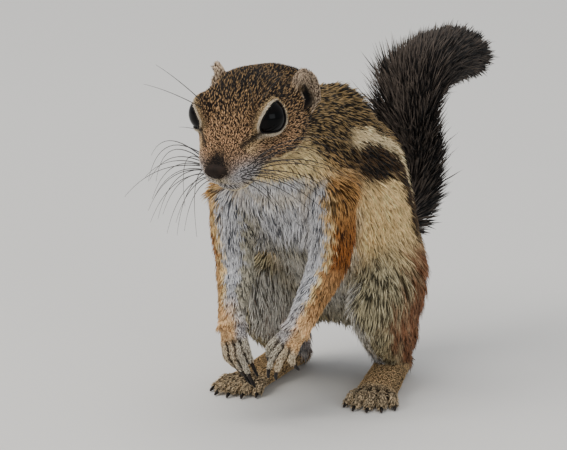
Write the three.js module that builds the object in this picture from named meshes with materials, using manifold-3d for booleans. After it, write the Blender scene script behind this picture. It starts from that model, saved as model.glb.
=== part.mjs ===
// An antelope ground squirrel, life size, sitting up on its hind feet and leaning forward with
// both forepaws hanging clear of the ground and the bushy tail carried up in an S behind it.
// Millimetres, +Z up. The animal faces -Y and its left side is +X. The solids reach the tips of
// the coat. The origin is the middle of the ground rectangle under the whole animal.

import * as THREE from "three";
import { mergeVertices } from "three/addons/utils/BufferGeometryUtils.js";
import Module from "manifold-3d";

const wasm = await Module();
wasm.setup();

// ---------------------------------------------------------------- driving dimensions

const GAP = 0.3; // clear space left between neighbouring solids
const EYE_RADIUS = 4.6;
const HEAD_PITCH = 28; // degrees, nose down
const HEAD_ROLL = 4.8; // degrees, left ear up
const NOSE_TIP = [0, -67.8, 71.9];
const FLOOR = -1.4; // the ground's height in the frame that the joints are measured in
const FOOT_TO_BALL = 28.5; // from the heel's middle to the roots of the toes
const TOE_FAN = 0.15; // how far each toe turns from its neighbour, in radians
const TOE_PITCH = 1.9; // between the roots of neighbouring toes
const TOE_REACH = [7.2, 10, 10.6, 10, 7.8];
const TOE_RADIUS = 1.35;
const PALM_TO_FINGERS = 5.6;
const FINGER_PITCH = 2.0;
const FINGER_RADIUS = 1.05;
const THUMB_RADIUS = 0.9;
const DIGIT_TAPER = 0.08; // lost from a digit's radius at each joint
const FORE_CLAW = { length: 4.2, droop: 1.3 };
const HIND_CLAW = { length: 2.6, droop: 0.7 };
const CLAW_RADII = [0.5, 0.42, 0.25]; // at the root, the middle and the point

// ---------------------------------------------------------------- making solids

const v3 = (p) => new THREE.Vector3(...p);
const radians = THREE.MathUtils.degToRad;

// A closed three.js geometry as a solid, with its faces pointing out.
function solidOf(geometry) {
  const bare = geometry.clone();
  bare.deleteAttribute("normal");
  bare.deleteAttribute("uv");
  const merged = mergeVertices(bare, 1e-4);
  const make = (triVerts) =>
    new wasm.Manifold(
      new wasm.Mesh({
        numProp: 3,
        vertProperties: new Float32Array(merged.attributes.position.array),
        triVerts,
      }),
    );
  const faces = new Uint32Array(merged.index.array);
  const made = make(faces);
  return made.volume() > 0 ? made : make(faces.reverse());
}

// A smooth line through a few numbers, read at any share of its length.
function profile(values) {
  const line = new THREE.CatmullRomCurve3(
    values.map((value, i) => new THREE.Vector3(i, value, 0)),
    false,
    "catmullrom",
    0.5,
  );
  return (t) => line.getPoint(t).y;
}

// A solid strung along a smooth line. Each station gives its place, its half-width to the side,
// and its half-depth towards the back and the front; a dome closes each end. sideways is the
// direction of the width. margin grows the solid all round.
function strungShape(stations, options) {
  const { around = 14, rows = 10, domeRows = 3, domes = [1, 1] } = options;
  const { sideways = [1, 0, 0], margin = 0 } = options;
  const line = new THREE.CatmullRomCurve3(stations.map((s) => v3(s.at)));
  const sizes = ["side", "back", "front"].map((key) => profile(stations.map((s) => s[key])));
  const shaft = rows - 2 * domeRows;
  const section = (row) => {
    const share = THREE.MathUtils.clamp((row - domeRows) / shaft, 0, 1);
    const atStart = row < domeRows;
    const turn = atStart ? row / domeRows : row > rows - domeRows ? (rows - row) / domeRows : 1;
    const centre = line.getPoint(share);
    const along = line.getTangent(share);
    const side = v3(sideways).addScaledVector(along, -v3(sideways).dot(along)).normalize();
    const back = new THREE.Vector3().crossVectors(side, along).normalize();
    const [w, b, f] = sizes.map((size) => size(share) + margin);
    const scale = Math.sin((turn * Math.PI) / 2);
    const reach = Math.cos((turn * Math.PI) / 2) * Math.min(w, (b + f) / 2);
    centre.addScaledVector(along, (atStart ? -domes[0] : domes[1]) * reach);
    return { centre, side, back, w: w * scale, b: b * scale, f: f * scale };
  };

  const geometry = new THREE.SphereGeometry(1, around, rows);
  const place = geometry.attributes.position;
  const uv = geometry.attributes.uv;
  for (let i = 0; i < place.count; i++) {
    const { centre, side, back, w, b, f } = section(Math.round((1 - uv.getY(i)) * rows));
    const angle = uv.getX(i) * 2 * Math.PI;
    const depth = Math.sin(angle);
    const point = centre
      .addScaledVector(side, Math.cos(angle) * w)
      .addScaledVector(back, depth * (depth > 0 ? b : f));
    place.setXYZ(i, point.x, point.y, point.z);
  }
  return geometry;
}

const strung = (stations, options) => solidOf(strungShape(stations, options));

// An egg-shaped solid: its three radii lie along the axes of frame, a Matrix4.
function egg(centre, radii, { frame = new THREE.Matrix4(), around = 10, rows = 8, margin = 0 } = {}) {
  const geometry = new THREE.SphereGeometry(1, around, rows);
  geometry.scale(...radii.map((r) => r + margin));
  geometry.applyMatrix4(frame);
  geometry.translate(...centre);
  return solidOf(geometry);
}

// The biggest of the bodies that a cut leaves.
function biggest(solid) {
  return solid.decompose().reduce((a, b) => (b.volume() > a.volume() ? b : a));
}

// A solid with its neighbours, each given already grown by the gap, cut away.
function clearOf(solid, ...neighbours) {
  return biggest(neighbours.reduce((left, n) => left.subtract(n), solid));
}

// ---------------------------------------------------------------- head

// The head's own frame: millimetres to the left, backwards from the nose tip, and up.
const headTurn = new THREE.Matrix4()
  .makeRotationX(radians(HEAD_PITCH))
  .multiply(new THREE.Matrix4().makeRotationY(-radians(HEAD_ROLL)));
const headPlace = headTurn.clone().setPosition(...NOSE_TIP);
const inHead = (p) => v3(p).applyMatrix4(headPlace).toArray();

const EYE_PLACE = [8.9, 15.8, 3.9];
const EAR_PLACE = [12.2, 30.6, 1.2];

const HEAD_STATIONS = [
  { at: [0, 1.6, -2.0], side: 4.0, back: 3.0, front: 4.0 },
  { at: [0, 5, -1.7], side: 6.2, back: 4.9, front: 6.2 },
  { at: [0, 10, -1.3], side: 9.6, back: 7.2, front: 7.8 },
  { at: [0, 15, -0.8], side: 11.8, back: 8.6, front: 9.4 },
  { at: [0, 20.5, -0.6], side: 12.8, back: 9.2, front: 10.8 },
  { at: [0, 26, -1.0], side: 13.3, back: 9.2, front: 11.6 },
  { at: [0, 31.5, -1.8], side: 12.8, back: 8.8, front: 12.0 },
  { at: [0, 37, -3.4], side: 11.2, back: 6.8, front: 11.0 },
];

// Where the skull swells: the middle of each swelling, its reach and how far it pushes.
const SWELLINGS = {
  brow: { at: [9.5, 17.5, 7.5], reach: [4, 6.5, 4], push: [2.8, -0.6, 1.7] },
  cheek: { at: [10.5, 19, -7], reach: [5, 8, 5.5], push: [2.6, 0, -2.0] },
  whiskerPad: { at: [4.8, 4.4, -6], reach: [3, 3.6, 3], push: [1.2, -0.6, -1.8] },
  chin: { at: [0, 6.0, -8.4], reach: [2.6, 4, 2.6], push: [0, 0, -2.0] },
};

function swollen(point) {
  const pushed = point.clone();
  for (const { at, reach, push } of Object.values(SWELLINGS)) {
    const hand = at[0] === 0 || point.x >= 0 ? 1 : -1;
    const off = v3(at).multiply(v3([hand, 1, 1])).sub(point).divide(v3(reach));
    pushed.addScaledVector(v3(push).multiply(v3([hand, 1, 1])), Math.exp(-off.lengthSq()));
  }
  return pushed;
}

function head(margin = 0) {
  const shape = strungShape(HEAD_STATIONS, { around: 26, rows: 23, margin, domes: [0.7, 0.5] });
  const place = shape.attributes.position;
  for (let i = 0; i < place.count; i++) {
    const point = swollen(new THREE.Vector3().fromBufferAttribute(place, i));
    place.setXYZ(i, point.x, point.y, point.z);
  }
  return solidOf(shape.applyMatrix4(headPlace));
}

// hand is 1 on the animal's left and -1 on its right.
function eye(hand, margin = 0) {
  const [x, y, z] = EYE_PLACE;
  const radii = [EYE_RADIUS, EYE_RADIUS, EYE_RADIUS];
  return egg(inHead([hand * x, y, z]), radii, { around: 12, rows: 9, margin });
}

// A cupped ear whose hollow faces outwards and forwards.
const EAR = { thick: 3.0, wide: 4.2, high: 6.9, wall: 0.9, faces: 35, leans: 10, hollowOut: 1.9 };
function ear(hand, margin = 0, cupped = true) {
  const frame = headTurn
    .clone()
    .multiply(new THREE.Matrix4().makeRotationZ(-hand * radians(EAR.faces)))
    .multiply(new THREE.Matrix4().makeRotationX(radians(-EAR.leans)));
  const [x, y, z] = EAR_PLACE;
  const centre = inHead([hand * x, y, z]);
  const cup = egg(centre, [EAR.thick, EAR.wide, EAR.high], { frame, margin, around: 12, rows: 8 });
  if (!cupped) return cup;
  const out = v3([hand * EAR.hollowOut, 0, 0.3]).applyMatrix4(frame);
  const hollow = [EAR.thick, EAR.wide, EAR.high].map((half) => half - EAR.wall);
  const bowl = egg(v3(centre).add(out).toArray(), hollow, { frame, around: 12, rows: 8 });
  return cup.subtract(bowl);
}

// ---------------------------------------------------------------- neck, trunk and tail

const NECK_STATIONS = [
  { at: [0, -47, 80], side: 12, back: 11, front: 12 },
  { at: [0, -40, 77], side: 14, back: 14, front: 14.5 },
  { at: [0, -32, 73], side: 15.5, back: 16, front: 17 },
  { at: [0, -25, 69], side: 15.9, back: 17.4, front: 18 },
];

const TRUNK_STATIONS = [
  { at: [0, -33, 66], side: 13.5, back: 14, front: 14 },
  { at: [0, -25, 65], side: 16.2, back: 19, front: 20 },
  { at: [0, -14, 60], side: 18, back: 23, front: 22 },
  { at: [0, -4, 51], side: 19.5, back: 25, front: 22 },
  { at: [0, 4, 40], side: 19.6, back: 22.6, front: 20 },
  { at: [0, 10, 29], side: 18.6, back: 18, front: 17 },
  { at: [0, 13, 20], side: 15, back: 12, front: 12 },
];

const TAIL_STATIONS = [
  { at: [0, 20, 37], side: 6.5, back: 5.5, front: 5.5 },
  { at: [0, 33, 32.5], side: 7, back: 5.5, front: 5.5 },
  { at: [0, 43, 36], side: 8, back: 6.5, front: 6.5 },
  { at: [0, 46.5, 45.5], side: 9, back: 7, front: 7 },
  { at: [0, 44, 54], side: 9.5, back: 7.5, front: 7.5 },
  { at: [0, 42, 62], side: 10.5, back: 8, front: 8.5 },
  { at: [0, 47, 68.5], side: 11, back: 8.5, front: 9 },
  { at: [0, 57, 71.5], side: 10.5, back: 8.5, front: 8.5 },
  { at: [0, 67, 71.5], side: 9.5, back: 7.5, front: 7.5 },
  { at: [0, 75, 69.5], side: 7.5, back: 6, front: 6 },
];
const TAIL_CUTS = [0.33, 0.64]; // shares of its length
const TAIL_NAMES = ["tail_base", "tail_middle", "tail_tip"];

const neck = (margin = 0) => strung(NECK_STATIONS, { around: 16, rows: 9, margin, domes: [0.5, 0.5] });
const trunk = (margin = 0) => strung(TRUNK_STATIONS, { around: 17, rows: 12, margin, domes: [0.6, 0.7] });

const tailLine = new THREE.CatmullRomCurve3(TAIL_STATIONS.map((s) => v3(s.at)));
const tail = (margin = 0) => strung(TAIL_STATIONS, { around: 12, rows: 18, margin, domes: [0.5, 1.1] });

// The tail is grown whole and parted by thin cuts across it, from the root to the tip.
function tailLengths() {
  const slabSize = 28; // wider than the tail, and clear of its other bends
  let left = clearOf(tail(), trunk(GAP));
  for (const share of TAIL_CUTS) {
    const slab = new THREE.BoxGeometry(slabSize, slabSize, GAP);
    const across = new THREE.Quaternion().setFromUnitVectors(v3([0, 0, 1]), tailLine.getTangent(share));
    slab.applyQuaternion(across);
    slab.translate(...tailLine.getPoint(share).toArray());
    left = left.subtract(solidOf(slab));
  }
  const root = v3(TAIL_STATIONS[0].at);
  const fromRoot = (solid) => {
    const { min, max } = solid.boundingBox();
    return v3(min).add(v3(max)).divideScalar(2).distanceTo(root);
  };
  return left.decompose().sort((a, b) => fromRoot(a) - fromRoot(b));
}

// ---------------------------------------------------------------- limbs

// The joints of each limb, how far its foot turns out in degrees, and how far each fingertip lies
// from its place in an even row: across the paw and along it. The animal's left comes first.
const LIMBS = {
  left: {
    hand: 1,
    shoulder: [14, -30, 60],
    upperArm: [14.2, -30, 49],
    elbow: [11.6, -27.5, 38.2],
    wrist: [10.2, -41.5, 25],
    fingertips: [4, -43.5, 15],
    hip: [10.8, 13.5, 25],
    thigh: [15.5, 0, 29],
    knee: [17.5, -15, 25.5],
    heel: [9.58, 15.5, FLOOR],
    turnOut: 16,
    spread: [
      [0, 0],
      [0.2, 1.9],
      [0.3, 1.1],
      [0.9, -2.4],
    ],
  },
  right: {
    hand: -1,
    shoulder: [-14, -30, 57],
    upperArm: [-15.2, -29, 46],
    elbow: [-15.3, -27, 35],
    wrist: [-10, -40, 23.5],
    fingertips: [-5.5, -45.5, 14],
    hip: [-10.8, 13.5, 25],
    thigh: [-15.5, 0, 27.5],
    knee: [-17.5, -17, 23.5],
    heel: [-18, 13.5, FLOOR],
    turnOut: 0,
    spread: [
      [1.8, 0.3],
      [1.3, 1.2],
      [0.9, 2.2],
      [0.3, 0],
    ],
  },
};

const mix = (a, b, t) => v3(a).lerp(v3(b), t).toArray();

const upperArm = (limb, margin = 0) =>
  strung(
    [
      { at: limb.shoulder, side: 6.5, back: 9, front: 9 },
      { at: limb.upperArm, side: 6.2, back: 8, front: 7 },
      { at: limb.elbow, side: 6.0, back: 5.4, front: 5.2 },
    ],
    { around: 11, rows: 8, domeRows: 2, margin, domes: [0.7, 0.9] },
  );

const forearm = (limb, margin = 0) =>
  strung(
    [
      { at: limb.elbow, side: 5.7, back: 5.0, front: 5.0 },
      { at: mix(limb.elbow, limb.wrist, 0.5), side: 4.5, back: 4.2, front: 4.2 },
      { at: limb.wrist, side: 3.8, back: 3.0, front: 3.0 },
    ],
    { around: 10, rows: 6, domeRows: 2, margin, domes: [0.8, 0.6] },
  );

// One finger or toe, strung through its joints.
function digit(joints, radius, sideways, margin) {
  const stations = joints.map((joint, i) => {
    const half = radius - DIGIT_TAPER * i;
    return { at: joint.toArray(), side: half, back: half, front: half };
  });
  return strung(stations, { around: 5, rows: 5, domeRows: 2, sideways, margin });
}

// The palm, thumb stub and four fingers, and where each finger ends and which way it points.
function forepaw(limb, margin = 0) {
  const run = v3(limb.fingertips).sub(v3(limb.wrist));
  const along = run.clone().normalize();
  const side = v3([1, 0, 0]).addScaledVector(along, -along.x).normalize();
  const sideways = side.toArray();
  const under = new THREE.Vector3().crossVectors(side, along).normalize();
  const at = (forth, across, down) =>
    v3(limb.wrist)
      .addScaledVector(along, forth)
      .addScaledVector(side, across)
      .addScaledVector(under, down);
  const palm = [
    { at: at(0, 0, 0).toArray(), side: 3.3, back: 2.6, front: 2.6 },
    { at: at(3.2, 0, 0).toArray(), side: 3.8, back: 2.2, front: 2.1 },
    { at: at(6.2, 0, 0.2).toArray(), side: 4.1, back: 1.8, front: 1.8 },
  ];
  const thumb = at(2.4, -limb.hand * 3.7, -0.4).toArray();
  const parts = [
    strung(palm, { around: 10, rows: 7, domeRows: 2, sideways, margin, domes: [0.6, 0.6] }),
    egg(thumb, [THUMB_RADIUS, THUMB_RADIUS, 1.5 * THUMB_RADIUS], { around: 6, rows: 4, margin }),
  ];
  const tips = [];
  limb.spread.forEach(([aside, further], i) => {
    const across = (i - 1.5) * FINGER_PITCH;
    const reach = run.length() - 0.5 * Math.abs(i - 1.5) + further;
    const root = at(PALM_TO_FINGERS - 0.5, across, 0.1);
    const knuckle = at((PALM_TO_FINGERS + reach) / 2 + 0.6, 1.08 * across + 0.4 * aside, -0.5);
    const tip = at(reach, across + aside, 1.2);
    parts.push(digit([root, knuckle, tip], FINGER_RADIUS, sideways, margin));
    tips.push({ tip, along: tip.clone().sub(knuckle).normalize(), under, sideways });
  });
  return { solid: parts.reduce((a, b) => a.add(b)), tips };
}

const thigh = (limb, margin = 0) =>
  strung(
    [
      { at: limb.hip, side: 9, back: 15, front: 15 },
      { at: limb.thigh, side: 9, back: 12, front: 13 },
      { at: limb.knee, side: 6.5, back: 8.5, front: 8 },
    ],
    { around: 14, rows: 9, domeRows: 2, margin, domes: [1.1, 0.8] },
  );

// The foot's own directions, and places in it: forwards from the heel, to its left and up.
function footFrame(limb) {
  const turn = limb.hand * radians(limb.turnOut);
  const along = v3([Math.sin(turn), -Math.cos(turn), 0]);
  const side = v3([Math.cos(turn), Math.sin(turn), 0]);
  const at = (forth, across, up) =>
    v3(limb.heel)
      .addScaledVector(along, forth)
      .addScaledVector(side, across)
      .add(v3([0, 0, up]));
  return { along, side, at };
}

function shank(limb, margin = 0) {
  const { at } = footFrame(limb);
  const calf = mix(limb.knee, at(3, 0, 7).toArray(), 0.55);
  const ankle = at(2.5, 0, 6.5).toArray();
  return strung(
    [
      { at: limb.knee, side: 5, back: 7, front: 5.4 },
      { at: calf, side: 6.2, back: 11.5, front: 7.4 },
      { at: ankle, side: 5, back: 7.5, front: 4.2 },
    ],
    { around: 11, rows: 7, domeRows: 2, margin, domes: [0.8, 0.5] },
  );
}

// The sole and five toes, and where each toe ends and which way it points.
function hindFoot(limb, margin = 0) {
  const { along, side, at } = footFrame(limb);
  const sideways = side.toArray();
  const sole = [
    { at: at(1.5, 0, 3.2).toArray(), side: 4.4, back: 3.6, front: 3.6 },
    { at: at(9, 0, 3.0).toArray(), side: 4.8, back: 3.4, front: 3.2 },
    { at: at(18, 0, 2.4).toArray(), side: 5.3, back: 2.8, front: 2.8 },
    { at: at(FOOT_TO_BALL, 0, 1.8).toArray(), side: 5.7, back: 2.2, front: 2.1 },
  ];
  const parts = [strung(sole, { around: 11, rows: 8, domeRows: 2, sideways, margin, domes: [0.8, 0.5] })];
  const tips = [];
  TOE_REACH.forEach((reach, i) => {
    const place = i - 2;
    const fan = place * TOE_FAN;
    const forwards = along.clone().multiplyScalar(Math.cos(fan)).addScaledVector(side, Math.sin(fan));
    const joint = (forth, up) =>
      at(FOOT_TO_BALL - 1, place * TOE_PITCH, up).addScaledVector(forwards, forth);
    const tip = joint(reach, 1.15);
    parts.push(digit([joint(0, 1.7), joint(reach * 0.55, 2.4), tip], TOE_RADIUS, sideways, margin));
    tips.push({ tip, along: forwards, under: v3([0, 0, -1]), sideways });
  });
  return { solid: parts.reduce((a, b) => a.add(b)), tips };
}

// A curved, tapering claw that grows out of a digit's end and bends towards its underside.
function claw({ tip, along, under, sideways }, { length, droop }) {
  const at = (forth, down) =>
    tip.clone().addScaledVector(along, forth).addScaledVector(under, down).toArray();
  const line = [at(0.3, -0.1), at(length * 0.6, droop * 0.25), at(length, droop)];
  const stations = line.map((place, i) => {
    const half = CLAW_RADII[i];
    return { at: place, side: half, back: half, front: 1.1 * half };
  });
  return strung(stations, { around: 5, rows: 5, domeRows: 1, sideways });
}

// All the room under the floor, which cuts the soles flat.
function floorBlock() {
  const [size, depth] = [300, 20];
  const block = new THREE.BoxGeometry(size, size, depth);
  block.translate(0, 0, FLOOR - depth / 2);
  return solidOf(block);
}

// ---------------------------------------------------------------- materials

const fur = (color) => new THREE.MeshStandardMaterial({ color, roughness: 0.9, metalness: 0 });
const MATERIALS = {
  crown: fur(0x6b5640),
  back: fur(0x5d4a38),
  arm: fur(0xb9865a),
  leg: fur(0xb7a07c),
  foot: fur(0xb3a585),
  tail: fur(0x3a3532),
  ear: fur(0x8d7d6c),
  eye: new THREE.MeshStandardMaterial({ color: 0x060504, roughness: 0.05, metalness: 0 }),
  claw: new THREE.MeshStandardMaterial({ color: 0x1a1614, roughness: 0.35, metalness: 0 }),
};

// ---------------------------------------------------------------- the model

const animal = new THREE.Group();

function add(name, solid, material) {
  const mesh = solid.getMesh();
  const geometry = new THREE.BufferGeometry()
    .setAttribute("position", new THREE.BufferAttribute(mesh.vertProperties, 3))
    .setIndex(new THREE.BufferAttribute(mesh.triVerts, 1));
  const shown = new THREE.Mesh(geometry, material);
  shown.name = name;
  animal.add(shown);
}

add("head", clearOf(head(), eye(1, GAP), eye(-1, GAP)), MATERIALS.crown);
add("trunk", clearOf(trunk(), head(GAP)), MATERIALS.back);
const wholeEars = Object.values(LIMBS).map((limb) => ear(limb.hand, GAP, false));
add("neck", clearOf(neck(), head(GAP), trunk(GAP), ...wholeEars), MATERIALS.back);
tailLengths().forEach((length, i) => add(TAIL_NAMES[i], length, MATERIALS.tail));

const body = [trunk(GAP), neck(GAP)];
const floor = floorBlock();
for (const [side, limb] of Object.entries(LIMBS)) {
  add("eye_" + side, eye(limb.hand), MATERIALS.eye);
  add("ear_" + side, clearOf(ear(limb.hand), head(GAP)), MATERIALS.ear);

  add("upper_arm_" + side, clearOf(upperArm(limb), ...body), MATERIALS.arm);
  add("forearm_" + side, clearOf(forearm(limb), upperArm(limb, GAP), ...body), MATERIALS.arm);
  const paw = forepaw(limb);
  const pawClearance = forepaw(limb, GAP).solid;
  add("forepaw_" + side, clearOf(paw.solid, forearm(limb, GAP)), MATERIALS.arm);
  paw.tips.forEach((tip, i) => {
    const solid = clearOf(claw(tip, FORE_CLAW), pawClearance);
    add(`fore_claw_${side}_${i + 1}`, solid, MATERIALS.claw);
  });

  add("thigh_" + side, clearOf(thigh(limb), ...body, tail(GAP)), MATERIALS.leg);
  add("shank_" + side, clearOf(shank(limb), thigh(limb, GAP), ...body), MATERIALS.leg);
  const foot = hindFoot(limb);
  const footClearance = hindFoot(limb, GAP).solid;
  const sole = clearOf(foot.solid, shank(limb, GAP), thigh(limb, GAP), ...body, floor);
  add("hind_foot_" + side, sole, MATERIALS.foot);
  foot.tips.forEach((tip, i) => {
    const solid = clearOf(claw(tip, HIND_CLAW), footClearance, floor);
    add(`hind_claw_${side}_${i + 1}`, solid, MATERIALS.claw);
  });
}

// The origin goes to the middle of the ground rectangle under the whole animal.
const box = new THREE.Box3().setFromObject(animal);
animal.position.set(-(box.min.x + box.max.x) / 2, -(box.min.y + box.max.y) / 2, -box.min.z);

export default animal;
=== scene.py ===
"""Skin, coat, eyes, claws and whiskers of a life-size antelope ground squirrel.

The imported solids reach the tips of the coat. One skin lies inside them by the depth of the
coat, and tufts of hair grow from it. Sizes inside this file are in millimetres, in the frame
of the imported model, until a mesh is made.
"""

import math

import bmesh
import bpy
import numpy as np
from bpy.props import FloatProperty, FloatVectorProperty, IntProperty, PointerProperty
from mathutils import Matrix, Vector
from mathutils.bvhtree import BVHTree
from mathutils.kdtree import KDTree


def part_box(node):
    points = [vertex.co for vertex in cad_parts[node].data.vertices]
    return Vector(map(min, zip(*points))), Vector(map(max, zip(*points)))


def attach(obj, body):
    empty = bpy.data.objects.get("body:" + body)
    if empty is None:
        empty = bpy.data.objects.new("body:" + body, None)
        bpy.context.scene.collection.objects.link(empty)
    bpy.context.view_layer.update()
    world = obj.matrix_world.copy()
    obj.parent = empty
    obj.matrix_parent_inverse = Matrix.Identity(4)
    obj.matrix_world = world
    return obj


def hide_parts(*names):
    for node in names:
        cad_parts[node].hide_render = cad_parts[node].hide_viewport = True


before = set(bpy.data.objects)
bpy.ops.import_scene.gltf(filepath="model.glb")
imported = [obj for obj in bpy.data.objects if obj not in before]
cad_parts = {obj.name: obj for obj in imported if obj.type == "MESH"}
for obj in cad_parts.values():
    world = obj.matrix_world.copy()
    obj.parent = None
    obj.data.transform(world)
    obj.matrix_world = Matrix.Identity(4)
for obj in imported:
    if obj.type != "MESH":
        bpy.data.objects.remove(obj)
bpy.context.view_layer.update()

bl_info = {
    "name": "Antelope ground squirrel",
    "version": (1, 0, 0),
    "blender": (4, 5, 0),
    "location": "3D View > Sidebar > Squirrel",
    "description": "Builds the skin, coat, eyes, claws and whiskers of a ground squirrel",
    "category": "Object",
}

MM = 0.001
SIDES = {"left": 1, "right": -1}


# ------------------------------------------------------------------ numbers on many points


def unit(vectors):
    """Rows made one long."""
    lengths = np.linalg.norm(vectors, axis=-1, keepdims=True)
    return vectors / np.maximum(lengths, 1e-9)


def ease(value, low, high):
    """0 below low, 1 above high and a smooth climb between them. low may be the higher one."""
    share = np.clip((value - low) / (high - low), 0, 1)
    return share * share * (3 - 2 * share)


def blob(points, centre, radii):
    """1 at centre, falling softly to about 0.4 at the radii and to nothing past them."""
    away = (points - np.array(centre)) / np.array(radii)
    return np.exp(-(away**2).sum(axis=1))


def middle(node):
    """The middle of a node's box, in millimetres."""
    low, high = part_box(node)
    return np.array((low + high) / 2) / MM


def turned(axis, degrees):
    """A turn about one axis, as a 3 by 3 array."""
    return np.array(Matrix.Rotation(math.radians(degrees), 3, axis))


def place_on_line(points, line):
    """How far along a line each point lies, the line's direction there and the way out to it."""
    steps = np.diff(line, axis=0)
    lengths = np.linalg.norm(steps, axis=1)
    passed = np.concatenate([[0], np.cumsum(lengths)])
    ways = unit(np.gradient(line, axis=0))
    nearest = np.full(len(points), np.inf)
    share = np.zeros(len(points))
    along = np.zeros_like(points)
    away = np.zeros_like(points)
    for i, step in enumerate(steps):
        part = np.clip((points - line[i]) @ step / lengths[i] ** 2, 0, 1)
        out = points - (line[i] + part[:, None] * step)
        distance = np.linalg.norm(out, axis=1)
        closer = distance < nearest
        nearest = np.where(closer, distance, nearest)
        share = np.where(closer, (passed[i] + part * lengths[i]) / passed[-1], share)
        way = ways[i] + part[:, None] * (ways[i + 1] - ways[i])
        along = np.where(closer[:, None], way, along)
        away = np.where(closer[:, None], out, away)
    return share, unit(along), away


# ------------------------------------------------------------------ the animal's own places

HEAD_PITCH = 28  # degrees that the nose points down
HEAD_ROLL = -4.8  # degrees, with the crown leaning to the animal's right
HEAD_AXES = turned("X", HEAD_PITCH) @ turned("Y", HEAD_ROLL)
EYE_SOLIDS = {side: middle("eye_" + side) for side in SIDES}
NOSE_TO_EYES = (0, 15.8, 3.9)  # from the nose tip to midway between the eyes, in the head's frame
NOSE_TIP = (EYE_SOLIDS["left"] + EYE_SOLIDS["right"]) / 2 - HEAD_AXES @ NOSE_TO_EYES
EYE_LIFT = (0.05, 0.4, 0.38)  # the visible ball's middle from the solid's, in the head's frame
EYES = {
    side: EYE_SOLIDS[side] + HEAD_AXES @ (hand * EYE_LIFT[0], EYE_LIFT[1], EYE_LIFT[2])
    for side, hand in SIDES.items()
}
EYE_RADIUS = 4.7


def in_head(points):
    """Points in the head's own frame: to its left, backwards from the nose tip, and up."""
    return (points - NOSE_TIP) @ HEAD_AXES


def from_head(places):
    return np.asarray(places) @ HEAD_AXES.T + NOSE_TIP


MIDDLE_X = NOSE_TIP[0]


def midline(places):
    """A line in the animal's middle plane, from pairs of Y and Z."""
    return np.array([(MIDDLE_X, y, z) for y, z in places])


NECK_LINE = midline([(-62, 85.4), (-53.7, 81.4), (-46.7, 78.4), (-38.7, 73.4), (-31.7, 67.4)])
TRUNK_LINE = midline(
    [
        (-39.7, 67.4),
        (-31.7, 66.4),
        (-20.7, 61.4),
        (-10.7, 52.4),
        (-2.7, 41.4),
        (3.3, 30.4),
        (6.3, 21.4),
    ]
)
TAIL_LINE = midline(
    [
        (13.3, 38.4),
        (26.3, 33.9),
        (36.3, 37.4),
        (39.8, 46.9),
        (37.3, 55.4),
        (35.3, 63.4),
        (40.3, 69.9),
        (50.3, 72.9),
        (60.3, 72.9),
        (68.3, 70.9),
    ]
)
TAIL_NODES = ("tail_base", "tail_middle", "tail_tip")


def limb_line(nodes, side, start, end):
    """A line through the middles of a limb's nodes, drawn out at both ends."""
    middles = [middle(f"{node}_{side}") for node in nodes]
    return np.array([middles[0] + np.array(start)] + middles + [middles[-1] + np.array(end)])


WRISTS = {"left": (9.285, -48.177, 26.4), "right": (-10.915, -46.677, 24.9)}
FINGERTIPS = {"left": (3.085, -50.177, 16.4), "right": (-6.415, -52.177, 15.4)}
ARM_JOINTS = {
    "left": [(13.1, -36.7, 66), (13.285, -36.677, 50.4), (10.685, -34.177, 39.6)],
    "right": [(-14.9, -36.7, 64), (-16.115, -35.677, 47.4), (-16.215, -33.677, 36.4)],
}
ARM_LINES = {
    side: np.array(ARM_JOINTS[side] + [WRISTS[side], FINGERTIPS[side]]) for side in SIDES
}
LEG_LINES = {
    side: limb_line(("thigh", "shank"), side, (0, 10, 10), (0, 12, -8)) for side in SIDES
}
HEELS = {"left": (8.665, 8.823, 0), "right": (-18.915, 6.823, 0)}
FOOT_TURN_OUT = {"left": 16, "right": 0}  # degrees


def foot_axes(side):
    """A hind foot's own directions: along it, across it and up."""
    turn = SIDES[side] * math.radians(FOOT_TURN_OUT[side])
    sin, cos = math.sin(turn), math.cos(turn)
    return np.array([(sin, -cos, 0), (cos, sin, 0), (0, 0, 1)])


FOOT_LINES = {
    side: HEELS[side] + np.array([(-3, 0, 5), (40, 0, 2)]) @ foot_axes(side) for side in SIDES
}
FOOT_TO_BALL = 28.5  # from the heel to the roots of the toes
TOE_FAN = 8.6  # degrees between one toe and the next
TOE_PITCH = 1.9
TOE_REACH = (7.2, 10, 10.6, 10, 7.8)
TOE_RADII = (1.15, 1.12, 0.95)
FINGER_PITCH = 2.0
FINGER_RADII = (0.9, 0.86, 0.74)
# How far each fingertip lies from its place in an even row: across the paw and along it.
FINGER_SPREAD = {
    "left": [(0, 0), (0.2, 1.9), (0.3, 1.1), (0.9, -2.4)],
    "right": [(1.8, 0.3), (1.3, 1.2), (0.9, 2.2), (0.3, 0)],
}
EAR_SIZE = np.array([3.0, 4.2, 6.9])
EAR_FACES = 35  # degrees that each ear opens away from straight outwards
EAR_LEANS = 10  # degrees that each ear leans back
EAR_IN_HEAD = (12.2, 30.6, 1.2)
EAR_TILT = {"left": 0.0, "right": 0.9}  # how far each ear's top leans in, in millimetres
EAR_FLARE = {"left": 0.0, "right": 1.5}  # how far the foot of each ear spreads out


def ear_axes(hand):
    """An ear's own directions, as the columns: to the animal's left, backwards and up."""
    return HEAD_AXES @ turned("Z", -hand * EAR_FACES) @ turned("X", -EAR_LEANS)


def in_ear(points, hand):
    """Points in an ear's own frame, from its middle."""
    x, y, z = EAR_IN_HEAD
    return (points - from_head((hand * x, y, z))) @ ear_axes(hand)


def near_ear(points, side):
    """1 within an ear's reach and 0 past it."""
    hand = SIDES[side]
    off = in_ear(points, hand) / (EAR_SIZE + 1.6)
    here = in_head(points)[:, 0] * hand > 0
    return here * ease(np.linalg.norm(off, axis=1), 1.15, 0.95)


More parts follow.
